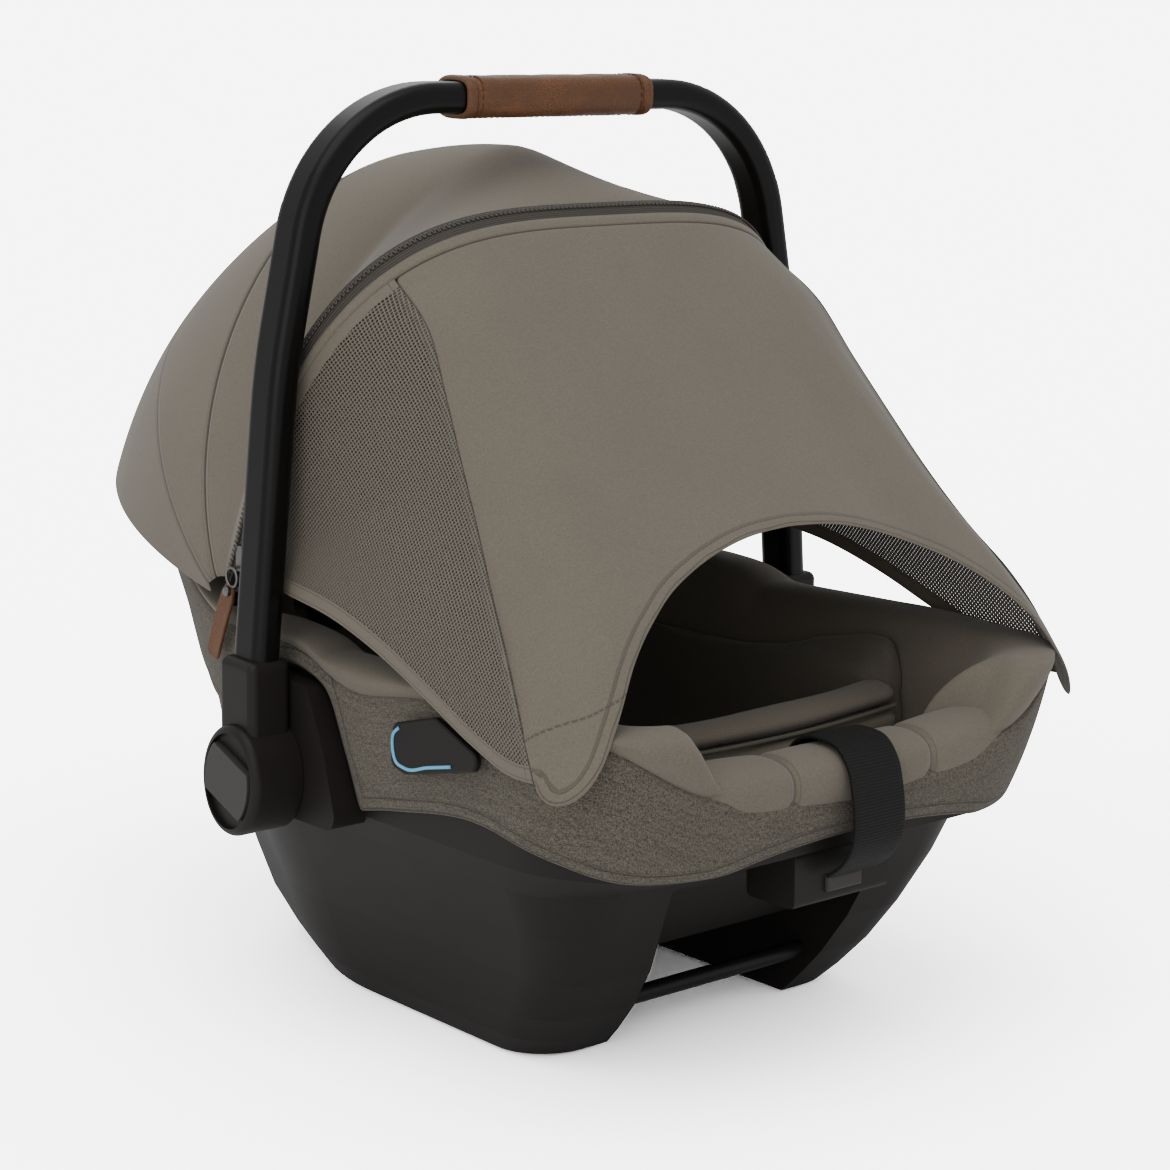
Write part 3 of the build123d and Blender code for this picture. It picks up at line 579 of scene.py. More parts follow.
def knit_finish(name, colour, edge=None, rows=(), seam=None, fold=0.0, patch=False, gain=1.0):
    """Smooth heathered knit, with stitching along an edge or a seam; its stitch grooves and the hem's fold
    are darkened as painted shade.
    """
    finish = Finish(name, Roughness=0.92, Sheen_Weight=0.12, Sheen_Roughness=0.5)
    fibre = finish.place.scaled((1500, 1500, 620)).noise(1.0, 3.0, 0.62)
    other = finish.place.scaled((520, 1300, 1500)).noise(1.0, 2.0, 0.6)
    cloud = finish.place.noise(18.0, 3.0)
    tone = fibre.step(0.25, 0.78) * 0.55 + other.step(0.25, 0.8) * 0.45
    base = tone.blend(rgb(colour, 0.76 * gain), rgb(colour, 1.22 * gain))
    shade = (tone * 0.9 + 0.05).blend(rgb(colour, 0.72 * gain), rgb(colour, 1.16 * gain))
    base = cloud.step(0.3, 0.7).blend(base, shade)
    height = fibre * 0.5 + other * 0.5
    normal = finish.bump(height, 0.00028, 0.5)
    along = finish.cloth().part(0)
    if edge:
        distance = finish.stored(edge)
        thread, groove = topstitch(along, distance, rows)
        # Stitch grooves darkened: painted shade in the grooves. The thread below keeps its own darker colour.
        base = (groove * 0.45).blend(base, rgb(colour, 0.45 * gain))
        base = (thread * 0.8).blend(base, rgb(colour, 0.55 * gain))
        relief = 1 - groove + thread * 0.6
        if fold:
            relief = relief + (1 - distance.step(fold - 0.0008, fold + 0.0004)) * 1.2
            # Line along the hem's fold darkened: painted shade in the fold.
            base = (near(distance, fold, 0.0009) * 0.5).blend(base, rgb(colour, 0.4 * gain))
        normal = finish.bump(relief, 0.0005, 0.9, normal)
    if seam:
        distance = finish.stored(seam).maths("ABSOLUTE")
        line = 1 - distance.step(0.0003, 0.0011)
        thread, groove = topstitch(along, distance, (0.0032,), 0.0005)
        base = (line * 0.72).blend(base, rgb(colour, 0.28 * gain))
        # Stitch grooves beside the seam darkened as painted shade; the thread is darkened as its own colour.
        base = (groove * 0.22 + thread * 0.2).blend(base, rgb(colour, 0.5 * gain))
        normal = finish.bump(distance.step(0.0, 0.003) - groove * 0.2, 0.0009, 0.8, normal)
    if patch:
        distance = finish.stored("patch")
        thread, groove = topstitch(along, distance, (0.0,), 0.0007, 0.0042)
        base = (thread * 0.85).blend(base, rgb(colour, 0.5 * gain))
        normal = finish.bump(1 - groove, 0.0004, 0.7, normal)
    finish.feed(Base_Color=base, Normal=normal)
    return finish.material


def woven_finish(name, light, dark, edge=None):
    """Melange weave of light and dark yarns, with painted shade in the stitch grooves along an edge."""
    finish = Finish(name, Roughness=0.95, Sheen_Weight=0.08)
    cloth = finish.cloth()
    pitch = 0.00105
    across, down = cloth.part(0) / pitch, cloth.part(1) / pitch
    over = ((across.maths("FLOOR") + down.maths("FLOOR")) * 0.5).maths("FRACT").step(0.2, 0.3)
    weft = cloth.scaled((300, 1250, 1)).noise(1.0, 3.0, 0.65)
    warp = cloth.scaled((1300, 430, 1)).noise(1.0, 3.0, 0.65)
    slub = cloth.scaled((26, 330, 1)).noise(1.0, 2.0, 0.6)
    yarn = over * weft + (1 - over) * warp
    tone = yarn.step(0.38, 0.62) * 0.82 + slub.step(0.3, 0.7) * 0.18
    base = tone.blend(rgb(dark), rgb(light))
    patches = cloth.scaled((60, 14, 1)).noise(1.0, 2.0).step(0.35, 0.7)
    base = (patches * 0.12).blend(base, rgb(light, 0.55))
    rib = (across.maths("FRACT") * pi).maths("SINE") * (down.maths("FRACT") * pi).maths("SINE")
    normal = finish.bump(rib * 0.7 + yarn * 0.6, 0.00035, 0.8)
    if edge:
        distance = finish.stored(edge)
        along = cloth.part(0) + cloth.part(1)
        thread, groove = topstitch(along, distance, (0.0022, 0.0082), 0.0006)
        # Stitch grooves darkened: painted shade in the grooves.
        base = (groove * 0.5).blend(base, rgb(dark, 0.6))
        base = (thread * 0.7).blend(base, rgb(dark, 1.6))
        relief = 1 - groove + thread * 0.5 + (1 - distance.step(0.0088, 0.0104)) * 1.2
        normal = finish.bump(relief, 0.0006, 0.9, normal)
    finish.feed(Base_Color=base, Normal=normal)
    return finish.material


def mesh_finish(name, colour, pitch):
    """Open mesh with plain borders along its edges, and painted shade in its holes, stitch grooves and ridge
    crease.
    """
    finish = Finish(name, Roughness=0.85, Sheen_Weight=0.1)
    cloth = finish.cloth()
    turn = pi / (pitch * 2**0.5)
    right = (cloth.part(0) + cloth.part(1)) * turn
    left = (cloth.part(0) - cloth.part(1)) * turn
    dots = right.maths("SINE") * left.maths("SINE")
    hole = dots.maths("ABSOLUTE").step(0.34, 0.56)
    hem, ridge, top = finish.stored("hem"), finish.stored("ridge"), finish.stored("top")
    plain = (1 - hem.step(0.0085, 0.0089)).maths("MAXIMUM", 1 - top.step(0.0068, 0.0075))
    double = 1 - ridge.step(0.0052, 0.0056)
    opening = hole * (1 - plain) * (1 - double * 0.75)
    fibre = finish.place.scaled((900, 900, 900)).noise(1.0, 2.0, 0.6)
    base = fibre.blend(rgb(colour, 0.70), rgb(colour, 1.16))
    # Holes darkened: painted shade seen through the open mesh.
    base = (hole * (1 - plain) * 0.8).blend(base, rgb(colour, 0.2))
    _, groove = topstitch(cloth.part(0), hem, (0.0016, 0.0072))
    _, crease = topstitch(cloth.part(1), ridge, (0.0046,))
    # Stitch grooves and the crease along the ridge darkened: painted shade.
    base = ((groove + crease) * 0.45).blend(base, rgb(colour, 0.45))
    seam = 1 - ridge.step(0.0002, 0.001)
    base = (seam * 0.75).blend(base, rgb(colour, 0.22))
    relief = (1 - hole) * (1 - plain) + plain * 1.6 - groove * 0.6 - crease * 0.5
    normal = finish.bump(relief, 0.0005, 0.8)
    finish.feed(Base_Color=base, Normal=normal, Alpha=1 - opening * 0.82)
    return finish.material


def plastic_finish(name, colour, rough, grain=1300.0, depth=0.00007, coat=0.0):
    """Moulded plastic with a fine spark-eroded grain."""
    finish = Finish(name, Coat_Weight=coat, Coat_Roughness=0.25, Specular_IOR_Level=0.2)
    speck = finish.place.noise(grain, 2.0, 0.6)
    cloud = finish.place.noise(9.0, 3.0)
    base = (speck * 0.5 + cloud * 0.5).blend(rgb(colour, 0.82), rgb(colour, 1.2))
    gloss = cloud * 0.1 + speck * 0.06 + (rough - 0.08)
    finish.feed(Base_Color=base, Roughness=gloss, Normal=finish.bump(speck, depth, 0.6))
    return finish.material


def metal_finish(name, colour, rough, metallic=0.0):
    """Satin painted or plain metal, a little uneven in gloss."""
    finish = Finish(name, Metallic=metallic, Specular_IOR_Level=0.18, Coat_Weight=0.05, Coat_Roughness=0.25)
    cloud = finish.place.noise(30.0, 3.0)
    speck = finish.place.noise(2200.0, 1.0)
    base = cloud.blend(rgb(colour, 0.85), rgb(colour, 1.15))
    gloss = cloud * 0.08 + (rough - 0.04)
    finish.feed(Base_Color=base, Roughness=gloss, Normal=finish.bump(speck, 0.00003, 0.4))
    return finish.material


def leather_finish(name, colour):
    """Tan leather with a fine grain and soft folds, with painted shade in the grain's hollows and painted
    highlights on the folds' crests.
    """
    finish = Finish(name, Specular_IOR_Level=0.4)
    stretched = finish.place.scaled((0.7, 1.0, 1.0))
    grain = stretched.cells(720.0)
    fine = stretched.noise(900.0, 3.0, 0.6)
    fold = finish.place.scaled((14, 90, 90)).noise(1.0, 3.0, 0.55)
    cloud = finish.place.noise(34.0, 4.0, 0.6)
    base = cloud.step(0.28, 0.72).blend(rgb(colour, 0.72), rgb(colour, 1.22))
    # Grain lines darkened: painted shade in the grain's hollows.
    base = (1 - grain.step(0.0, 0.22)).blend(base, rgb(colour, 0.62))
    # Fold crests lightened: painted highlights on the folds.
    base = (fold.step(0.58, 0.75) * 0.35).blend(base, rgb(colour, 1.5))
    normal = finish.bump(grain.step(0.0, 0.3) + fine * 0.4, 0.00016, 0.7)
    normal = finish.bump(fold, 0.0012, 0.35, normal)
    finish.feed(Base_Color=base, Roughness=cloud * 0.16 + fine * 0.1 + 0.36, Normal=normal)
    return finish.material


def webbing_finish(name, colour):
    """Webbing with ribs across it; the ribs are painted lighter on their crests and darker in their troughs,
    as painted light and shade.
    """
    finish = Finish(name, Roughness=0.7, Specular_IOR_Level=0.2)
    cloth = finish.cloth()
    rib_pitch = 0.0017
    rib = (cloth.part(1) * (2 * pi / rib_pitch)).maths("SINE") * 0.5 + 0.5
    yarn = cloth.scaled((420, 1500, 1)).noise(1.0, 2.0)
    # Rib crests lightened and troughs darkened: painted light and shade following the ribs. The yarn noise is
    # the webbing's own tone.
    base = (rib * 0.5 + yarn * 0.5).blend(rgb(colour, 0.45), rgb(colour, 1.7))
    normal = finish.bump(rib + yarn * 0.3, 0.0004, 0.9)
    finish.feed(Base_Color=base, Normal=normal, Roughness=yarn * 0.2 + 0.5)
    return finish.material


def foam_finish(name):
    """Grey moulded bead foam."""
    finish = Finish(name, Roughness=0.9)
    edge = finish.place.cells(260.0).step(0.0, 0.12)
    base = edge.blend((0.05, 0.05, 0.05, 1), (0.12, 0.12, 0.12, 1))
    finish.feed(Base_Color=base, Normal=finish.bump(edge, 0.0004, 0.6))
    return finish.material


class SEAT_OT_finishes(bpy.types.Operator):
    """Makes every material and puts it on the CAD pieces that keep their shape"""

    bl_idname = "seat.finishes"
    bl_label = "Finishes"

    def execute(self, context):
        colours = context.scene.seat_colours
        knit, plastic = tuple(colours.knit), tuple(colours.plastic)
        light, dark = tuple(colours.woven_light), tuple(colours.woven_dark)
        leather = tuple(colours.leather)
        hem_rows = (0.0018, 0.0066)
        finishes.update(
            canopy=knit_finish("canopy_knit", knit, seam="seam"),
            drape=knit_finish("drape_knit", knit, "hem", hem_rows, fold=0.0078, patch=True, gain=0.97),
            padding=knit_finish("padding_knit", knit, seam="seam", gain=0.95),
            plain=knit_finish("plain_knit", knit),
            # Knit at 0.72 of its colour for the inserts and the piping: partly their darker knit, partly
            # painted shade for the deep inside of the seat.
            dark_knit=knit_finish("dark_knit", knit, gain=0.72),
            woven=woven_finish("cover_weave", light, dark, edge="edge"),
            side_weave=woven_finish("side_weave", light, dark),
            mesh=mesh_finish("side_mesh", knit, context.scene.seat_canopy.mesh_pitch),
            shell=plastic_finish("shell_plastic", plastic, 0.52),
            hub=plastic_finish("hub_plastic", plastic, 0.46, 1500.0, 0.00005),
            panel=plastic_finish("panel_plastic", (0.046, 0.043, 0.040), 0.5, 1600.0, 0.00006),
            gloss=plastic_finish("gloss_plastic", (0.012, 0.011, 0.011), 0.22, 400.0, 0.00001, 0.4),
            guide=plastic_finish("guide_plastic", (0.0085, 0.0068, 0.0062), 0.45, 1200.0, 0.00005),
            blue=plastic_finish("blue_plastic", (0.13, 0.44, 0.66), 0.45, 900.0, 0.00003),
            red=plastic_finish("red_plastic", (0.42, 0.025, 0.02), 0.35, 900.0, 0.00003, 0.3),
            rubber=plastic_finish("foot_rubber", (0.015, 0.015, 0.015), 0.8, 700.0, 0.0001),
            tube=metal_finish("handle_black", tuple(colours.metal), 0.34),
            steel=metal_finish("dull_steel", (0.42, 0.41, 0.40), 0.38, 1.0),
            gunmetal=metal_finish("zip_metal", (0.16, 0.155, 0.15), 0.33, 1.0),
            black_steel=metal_finish("bar_black", (0.012, 0.011, 0.011), 0.36),
            leather=leather_finish("tan_leather", leather),
            webbing=webbing_finish("black_webbing", (0.0062, 0.0058, 0.0055)),
            tape=webbing_finish("zip_tape", (0.05, 0.044, 0.037)),
            coil=plastic_finish("zip_coil", (0.075, 0.067, 0.057), 0.4, 800.0, 0.00004),
            foam=foam_finish("bead_foam"),
            thread=plastic_finish("tan_thread", [channel * 0.8 for channel in leather], 0.7, 900.0, 0.00003),
        )
        kept = {
            "shell": [
                "outer_shell", "seat_bucket", "left_hub_base", "right_hub_base", "release_housing",
                "left_canopy_post", "right_canopy_post",
            ],
            "hub": ["left_hub", "right_hub", "adjuster_housing", "buckle"],
            "panel": ["left_hub_button", "right_hub_button", "release_trigger", "adjuster_button"],
            "gloss": ["left_stroller_button", "right_stroller_button"],
            "guide": ["left_belt_guide", "right_belt_guide"],
            "tube": ["handle_tube"],
            "steel": ["left_pivot_bolt", "right_pivot_bolt", "buckle_tongues"],
            "black_steel": ["front_latch_bar", "rear_latch_bar"],
            "gunmetal": ["zip_slider"],
            "rubber": ["skid_feet"],
            "red": ["buckle_button"],
            "foam": ["foam_liner"],
        }
        for name, nodes in kept.items():
            for node in nodes:
                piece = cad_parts[node]
                for place in range(max(len(piece.material_slots), 1)):
                    if piece.material_slots:
                        piece.material_slots[place].material = finishes[name]
                    else:
                        piece.data.materials.append(finishes[name])
        return {"FINISHED"}


def arch_line(width, rise, power, foot=14.0, count=36):
    """Half of an arch from the crown down to its foot: distance from the middle, and from the axis."""
    turns = np.linspace(0, pi / 2, 500)
    out = width * np.sin(turns) ** (2 / power)
    up = rise * np.cos(turns) ** (2 / power)
    keep = up >= foot
    return resample(np.stack([out[keep], up[keep]], axis=1), count)


def zip_lean(reach, rise):
    """Lean of the zip's line toward the foot end, in degrees."""
    return 27.7 - 9.5 * (1 - reach / rise) ** 1.2 + 12 * np.maximum(0, 1 - reach / 110)


def canopy_station(lean, curve, width, rise, power):
    """Arch of the canopy: out, lean and distance from the axis. Its foot trails the crown by the curve.

    Without a lean it is the zip's own arch.
    """
    out, reach = arch_line(width, rise, power).T
    leans = zip_lean(reach, rise) if lean is None else lean - curve * (1 - reach / rise) ** 1.2
    return np.stack([out, leans, reach], axis=1)


def canopy_place(station):
    """Points in the frame for out, lean and distance from the axis."""
    lean = np.radians(station[..., 1])
    reach = station[..., 2]
    along, up = CANOPY_AXIS[0] - reach * np.sin(lean), CANOPY_AXIS[1] + reach * np.cos(lean)
    return np.stack([station[..., 0], along, up], axis=-1)


def canopy_stations(sizes):
    """Arches from the zip back to the rear hem."""
    width, rise = sizes.front_width * 1000, sizes.front_rise * 1000
    return [
        canopy_station(None, 0, width, rise, ZIP_POWER),
        canopy_station(8.7, 3, width, rise + 8, 1.6),
        canopy_station(-12, 17, width - 0.2, rise + 4, 1.95),
        canopy_station(-43.9, 10, width + 2, rise - 3, 2.25),
        canopy_station(-76.7, 2.4, width - 1.3, rise + 19, 2.4),
    ]


def canopy_rows(stations, counts, sag):
    """Rows of cloth through some arches, hanging a little between them."""
    rows = []
    for first, second, count in zip(stations, stations[1:], counts):
        for step in range(count):
            share = step / count
            row = mix(first, second, share)
            drop = sag * 4 * share * (1 - share)
            row[:, 2] -= drop * np.clip(row[:, 2] / 120, 0, 1)
            rows.append(row)
    rows.append(stations[-1].copy())
    return np.array(rows)


def both_sides(rows):
    """Cloth over both sides from rows that run from the crown to the left foot."""
    half = canopy_place(rows)
    mirror = half * (-1, 1, 1)
    return np.concatenate([mirror[:, ::-1], half[:, 1:]], axis=1).transpose(1, 0, 2)


def seam_distance(piece, points, lines):
    """Stores how far each point lies from the nearest of some rows, along the columns."""
    down = np.linalg.norm(np.diff(points, axis=1), axis=2)
    down = np.concatenate([np.zeros((points.shape[0], 1)), np.cumsum(down, axis=1)], axis=1)
    far = np.min([np.abs(down - down[:, [line]]) for line in lines], axis=0) / 1000
    column, row = noted(piece, "column").astype(int), noted(piece, "row").astype(int)
    note(piece, "seam", far[column, row])


def blend_front(piece):
    """Bakes the placement of a piece of the front cloth into its points."""
    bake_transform(piece)


class SEAT_OT_canopy(bpy.types.Operator):
    """Stretches the canopy's cloth over its bows"""

    bl_idname = "seat.canopy"
    bl_label = "Canopy cloth"

    def execute(self, context):
        sizes = context.scene.seat_canopy
        stations = canopy_stations(sizes)
        cloths = []
        for name, arches, counts, seams, hidden in (
            ("canopy_front_cloth", stations[:3], (8, 12), (20,), ("canopy_front_panel",)),
            (
                "canopy_rear_cloth", stations[2:], (14, 12), (0, 14),
                ("canopy_rear_panel", "canopy_middle_panel"),
            ),
        ):
            points = both_sides(canopy_rows(arches, counts, sizes.sag * 1000))
            cloth = lay_sheet(name, points, away=CANOPY_MIDDLE)
            seam_distance(cloth, points, seams)
            thicken(cloth, sizes.cloth * 1000)
            soften(cloth, 60)
            cloths.append(dress(cloth, finishes["canopy"], "knit", *hidden))
        front, rear = cloths
        blend_front(front)
        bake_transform(rear)
        return {"FINISHED"}


class SEAT_OT_bows(bpy.types.Operator):
    """Bends the two flat bows that hold the canopy up, under its cloth"""

    bl_idname = "seat.bows"
    bl_label = "Canopy bows"

    def execute(self, context):
        stations = canopy_stations(context.scene.seat_canopy)
        under, narrowing = 5.6, 0.972
        for place, body, first in (("front", "canopy_front", 0), ("middle", "canopy_middle", 2)):
            shares = (0.03, 0.07, 0.11, 0.15)
            rows = np.array([mix(stations[first], stations[first + 1], share) for share in shares])
            rows[..., 2] -= under
            rows[..., 0] *= narrowing
            bow = lay_sheet(f"{place}_bow_strip", both_sides(rows), away=CANOPY_MIDDLE)
            thicken(bow, 3.0)
            smooth(bow, 50)
            dress(bow, finishes["shell"], "bow_plastic", f"{place}_bow")
            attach(bow, body)
        return {"FINISHED"}


def zip_line(sizes, lift, lean=0.0, count=400):
    """Line of the zip over both sides, lifted off the cloth."""
    width, rise = sizes.front_width * 1000, sizes.front_rise * 1000
    out, reach = arch_line(width, rise, ZIP_POWER, count=count // 2).T
    station = np.stack([out, zip_lean(reach, rise) + lean, reach + lift], axis=1)
    side = 188
    station[:, 0] += lift * np.clip(out / side, 0, 1) ** 3
    half = canopy_place(station)
    return np.concatenate([(half * (-1, 1, 1))[::-1], half[1:]])


class SEAT_OT_zip(bpy.types.Operator):
    """Lays the coil zip along the canopy's front edge, on its tape"""

    bl_idname = "seat.zip"
    bl_label = "Zip"

    def execute(self, context):
        sizes = context.scene.seat_canopy
        profile = ((0.5, -1.3), (1.0, -0.6), (0.9, 0.0), (0.6, 0.8), (0.1, 1.8))
        points = np.stack([zip_line(sizes, lift, lean, 120) for lift, lean in profile], axis=1)
        tape = lay_sheet("zip_tape", points, away=CANOPY_MIDDLE)
        thicken(tape, 0.8)
        smooth(tape, 60)
        dress(tape, finishes["tape"], "zip_tape", "canopy_zip")
        zip_length, tooth_lean = 760, 0.34
        line = resample(zip_line(sizes, 1.7, -0.1), int(zip_length / (sizes.tooth_pitch * 1000)))
        ahead = np.gradient(line, axis=0)
        ahead /= np.linalg.norm(ahead, axis=1)[:, None]
        out = line - np.array(CANOPY_MIDDLE)
        out[:, 0] *= 0.6
        out -= (out * ahead).sum(axis=1)[:, None] * ahead
        out /= np.linalg.norm(out, axis=1)[:, None]
        beside = np.cross(ahead, out)
        deselect()
        bpy.ops.mesh.primitive_cylinder_add(vertices=6, radius=0.00055, depth=0.0034, rotation=(0, pi / 2, 0))
        tooth = bpy.context.active_object
        bpy.ops.object.transform_apply(location=True, rotation=True, scale=True)
        edit(tooth, (bpy.ops.mesh.bevel, {"offset": 0.0002, "segments": 1}))
        frames = []
        for count, (a, b, c, place) in enumerate(zip(beside, ahead, out, line)):
            slant = tooth_lean if count % 2 else -tooth_lean
            frames.append((np.array([a + b * slant, b, c]), place))
        teeth = repeat("zip_coil", tooth, frames)
        smooth(teeth, 50)
        dress(teeth, finishes["coil"], "zip_tape")
        for piece in (tape, teeth):
            blend_front(piece)
        return {"FINISHED"}


def drape_lines(sizes):
    """Edges of the drape's left half: crown, side of the zip, ridge, side hem and arched front hem."""
    top = zip_line(sizes, -1.2, 3.4, 400)
    half = top[len(top) // 2:]
    crown_half, side_foot = 141.0, 268
    reach = np.searchsorted(half[:, 0], crown_half)
    crown, side = half[: reach + 1], half[reach:]
    below = side[:, 2] < side_foot
    side = side[: np.argmax(below) + 1] if below.any() else side
    tip = (199.0, -262.5, 196.5)
    ridge_points = [
        crown[-1], (147, -107, 411), (154, -132, 377), (162, -156, 344), (170, -180, 312),
        (180, -205, 281), (191, -232, 252), (197.5, -250, 226), tip,
    ]
    ridge = smooth_line(ridge_points, 48)
    hem_points = [
        side[-1], (190.5, -25, 258), (191.5, -74, 251), (192.5, -121, 238), (194, -166, 221),
        (196, -209, 204.5), (198, -243, 196), tip,
    ]
    hem = smooth_line(hem_points, 200)
    arch_points = [
        tip, (199.5, -266, 190.5), (197.5, -271.5, 186.5), (192.5, -278.5, 186.5), (185, -285.5, 193),
        (176, -289.5, 207), (165.5, -287, 223), (155, -282.5, 238), (143, -275, 251), (130, -268, 262),
        (115, -261, 272), (100, -254, 280), (80, -248, 288.5), (60, -244.5, 295.5), (30, -241, 302),
        (0, -240, 304),
    ]
    arch = smooth_line(arch_points, 400)
    return crown, side, ridge, hem, arch


def distance_to(places, line):
    """Distance in metres from each place to the nearest point of a line."""
    return np.min(np.linalg.norm(places[:, None, :] - line[None], axis=2), axis=1) / 1000


class SEAT_OT_drape(bpy.types.Operator):
    """Stretches the drape from the zip to its arched hem, with a mesh panel on each side"""

    bl_idname = "seat.drape"
    bl_label = "Drape"

    def execute(self, context):
        sizes = context.scene.seat_canopy
        crown, side, ridge, hem, arch = drape_lines(sizes)
        profile = ((0.4, 1.6), (0.2, 2.2), (-0.6, 3.0), (-1.6, 3.6))
        inner = np.stack([zip_line(sizes, lift, lean, 160) for lift, lean in profile], axis=1)
        band = lay_sheet("drape_band", inner, away=CANOPY_MIDDLE)
        seam_distance(band, inner, (0, 3))
        thicken(band, 1.2)
        soften(band, 60)
        dress(band, finishes["canopy"], "knit")
        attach(band, "canopy_front")
        across, rows = 36, 40
        top_half, hem_half = resample(crown, across), resample(arch[::-1], across)
        shares = np.linspace(0, 1, rows + 1)[None, :, None]
        half = mix(top_half[:, None, :], hem_half[:, None, :], shares)
        edge = half[-1].copy()
        line = resample(ridge, rows)
        pull_in = (np.linspace(0, 1, across + 1) ** 3)[:, None, None]
        half += (line - edge)[None] * pull_in
        hang = (4 * shares * (1 - shares)) * (1 - np.linspace(0, 1, across + 1) ** 2)[:, None, None]
        half += hang * np.array((0, 3.2, -4.2))
        points = np.concatenate([(half * (-1, 1, 1))[::-1], half[1:]])
        panel = lay_sheet("drape_panel", points, away=(0, 0, 200))
        places = spots(panel)
        edge_line = np.concatenate([(arch * (-1, 1, 1)), arch[::-1]])
        note(panel, "hem", distance_to(places, edge_line[::4]))
        out = np.abs(places[:, 0])
        note(panel, "patch", (places[:, 2] - 226 + (out - 180) * 0.5) / 1000 + (out < 140))
        thicken(panel, 1.8)
        soften(panel, 60)
        dress(panel, finishes["drape"], "knit", "drape_top")
        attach(panel, "canopy_front")
        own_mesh(panel)
        outer_count, side_count, down_count, bulging = 60, 26, 19, 2.0
        path = np.concatenate([resample(side, side_count), resample(hem, outer_count - side_count)[1:]])
        ridge_line = resample(ridge, outer_count)
        for name, sign in SIDES:
            shares = np.linspace(0, 1, down_count)[None, :, None]
            grid = mix(ridge_line[:, None, :], path[:, None, :], shares)
            along, down = np.linspace(0, pi, outer_count + 1), np.linspace(0, pi, down_count)
            grid[..., 0] += np.sin(along)[:, None] * np.sin(down)[None] * bulging
            grid = grid * (sign, 1, 1)
            sheet = lay_sheet(f"{name}_drape_side", grid, away=(0, -80, 260))
            places = spots(sheet) * (sign, 1, 1)
            for label, edge_line in (("hem", hem), ("ridge", ridge), ("top", side)):
                note(sheet, label, distance_to(places, resample(edge_line, 300)))
            lay_cloth(sheet, sheet.data.uv_layers[0], places)
            thicken(sheet, 0.9)
            smooth(sheet, 60)
            dress(sheet, finishes["mesh"], "mesh", f"{name}_drape_mesh")
            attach(sheet, "canopy_front")
            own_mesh(sheet)
        return {"FINISHED"}


seam_height = height_line(SEAM)
front_seam_height = height_line(FRONT_SEAM)
window_height = height_line(WINDOW)
WALL_HEIGHTS = np.arange(60.0, 336.0, 5.0)


class Wall:
    """Half of a rounded wall of the seat, from the head end round the left to the foot end."""

    def __init__(self, levels, grow=0.0):
        self.loops = np.array([half_loop(levels, height, grow) for height in WALL_HEIGHTS])
        middle = self.loops[np.searchsorted(WALL_HEIGHTS, 200)]
        ahead = np.gradient(middle, axis=0)
        ahead /= np.linalg.norm(ahead, axis=1)[:, None]
        self.out = np.stack([-ahead[:, 1], ahead[:, 0]], axis=1)
        self.plan = middle

    def at(self, height, grow):
        """Points at a height and a distance off the wall for each column."""
        places = []
        for column, (level, off) in enumerate(zip(height, grow)):
            x, y = [np.interp(level, WALL_HEIGHTS, self.loops[:, column, axis]) for axis in (0, 1)]
            places.append((x + self.out[column, 0] * off, y + self.out[column, 1] * off, level))
        return np.array(places)


def cover_seam(plan):
    """Height of the seam between the woven cover and the knit rim at places round the seat."""
    across = front_seam_height(np.abs(plan[:, 0]))
    return mix(seam_height(plan[:, 1]), across, ease(-248, -276, plan[:, 1]))


def whole(rows):
    """Both sides of the seat from the rows of its left half, columns first."""
    half = np.stack(rows, axis=1)
    return np.concatenate([half, (half * (-1, 1, 1))[-2::-1]])


class SEAT_OT_cover(bpy.types.Operator):
    """Sews the woven cover round the outside of the shell, open round the two handle brackets"""

    bl_idname = "seat.cover"
    bl_label = "Woven cover"

    def execute(self, context):
        wall = Wall(SHELL)
        plan = wall.plan
        top = cover_seam(plan)
        foot = ease(-270, -290, plan[:, 1])
        bottom = hem_height(plan[:, 1]) + foot * 9 * np.maximum(0, 1 - (plan[:, 0] / 110) ** 2)
        open_low = np.where((plan[:, 1] > -83.5) & (plan[:, 1] < 18.1), window_height(plan[:, 1]), 0)
        bottom = np.minimum(np.maximum(bottom, open_low), top - 6)
        count = 22
        every = np.ones(len(plan))
        rows = [wall.at(top + 2.0, every * -0.5), wall.at(top + 0.6, every * 3.4)]
        for step in range(count + 1):
            share = step / count
            ripple = 0.5 * np.sin(plan[:, 1] / 23 + share * 2) * np.sin(share * pi)
            swelling = 4.9 + 2.0 * sin(share * pi) ** 0.7 + ripple
            rows.append(wall.at(mix(top - 1.5, bottom, share), swelling))
        rows.append(wall.at(bottom + 0.8, every * 2.6))
        points = whole(rows)
        cover = lay_sheet("woven_cover", points, closed=True, away=(0, 0, 180))
        hem_line = resample(points[:, -2], 1400)
        parts = np.array_split(spots(cover), 12)
        note(cover, "edge", np.concatenate([distance_to(part, hem_line) for part in parts]))
        thicken(cover, 2.4)
        soften(cover, 60)
        dress(cover, finishes["woven"], "woven", "seat_cover")
        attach(cover, "seat")
        return {"FINISHED"}


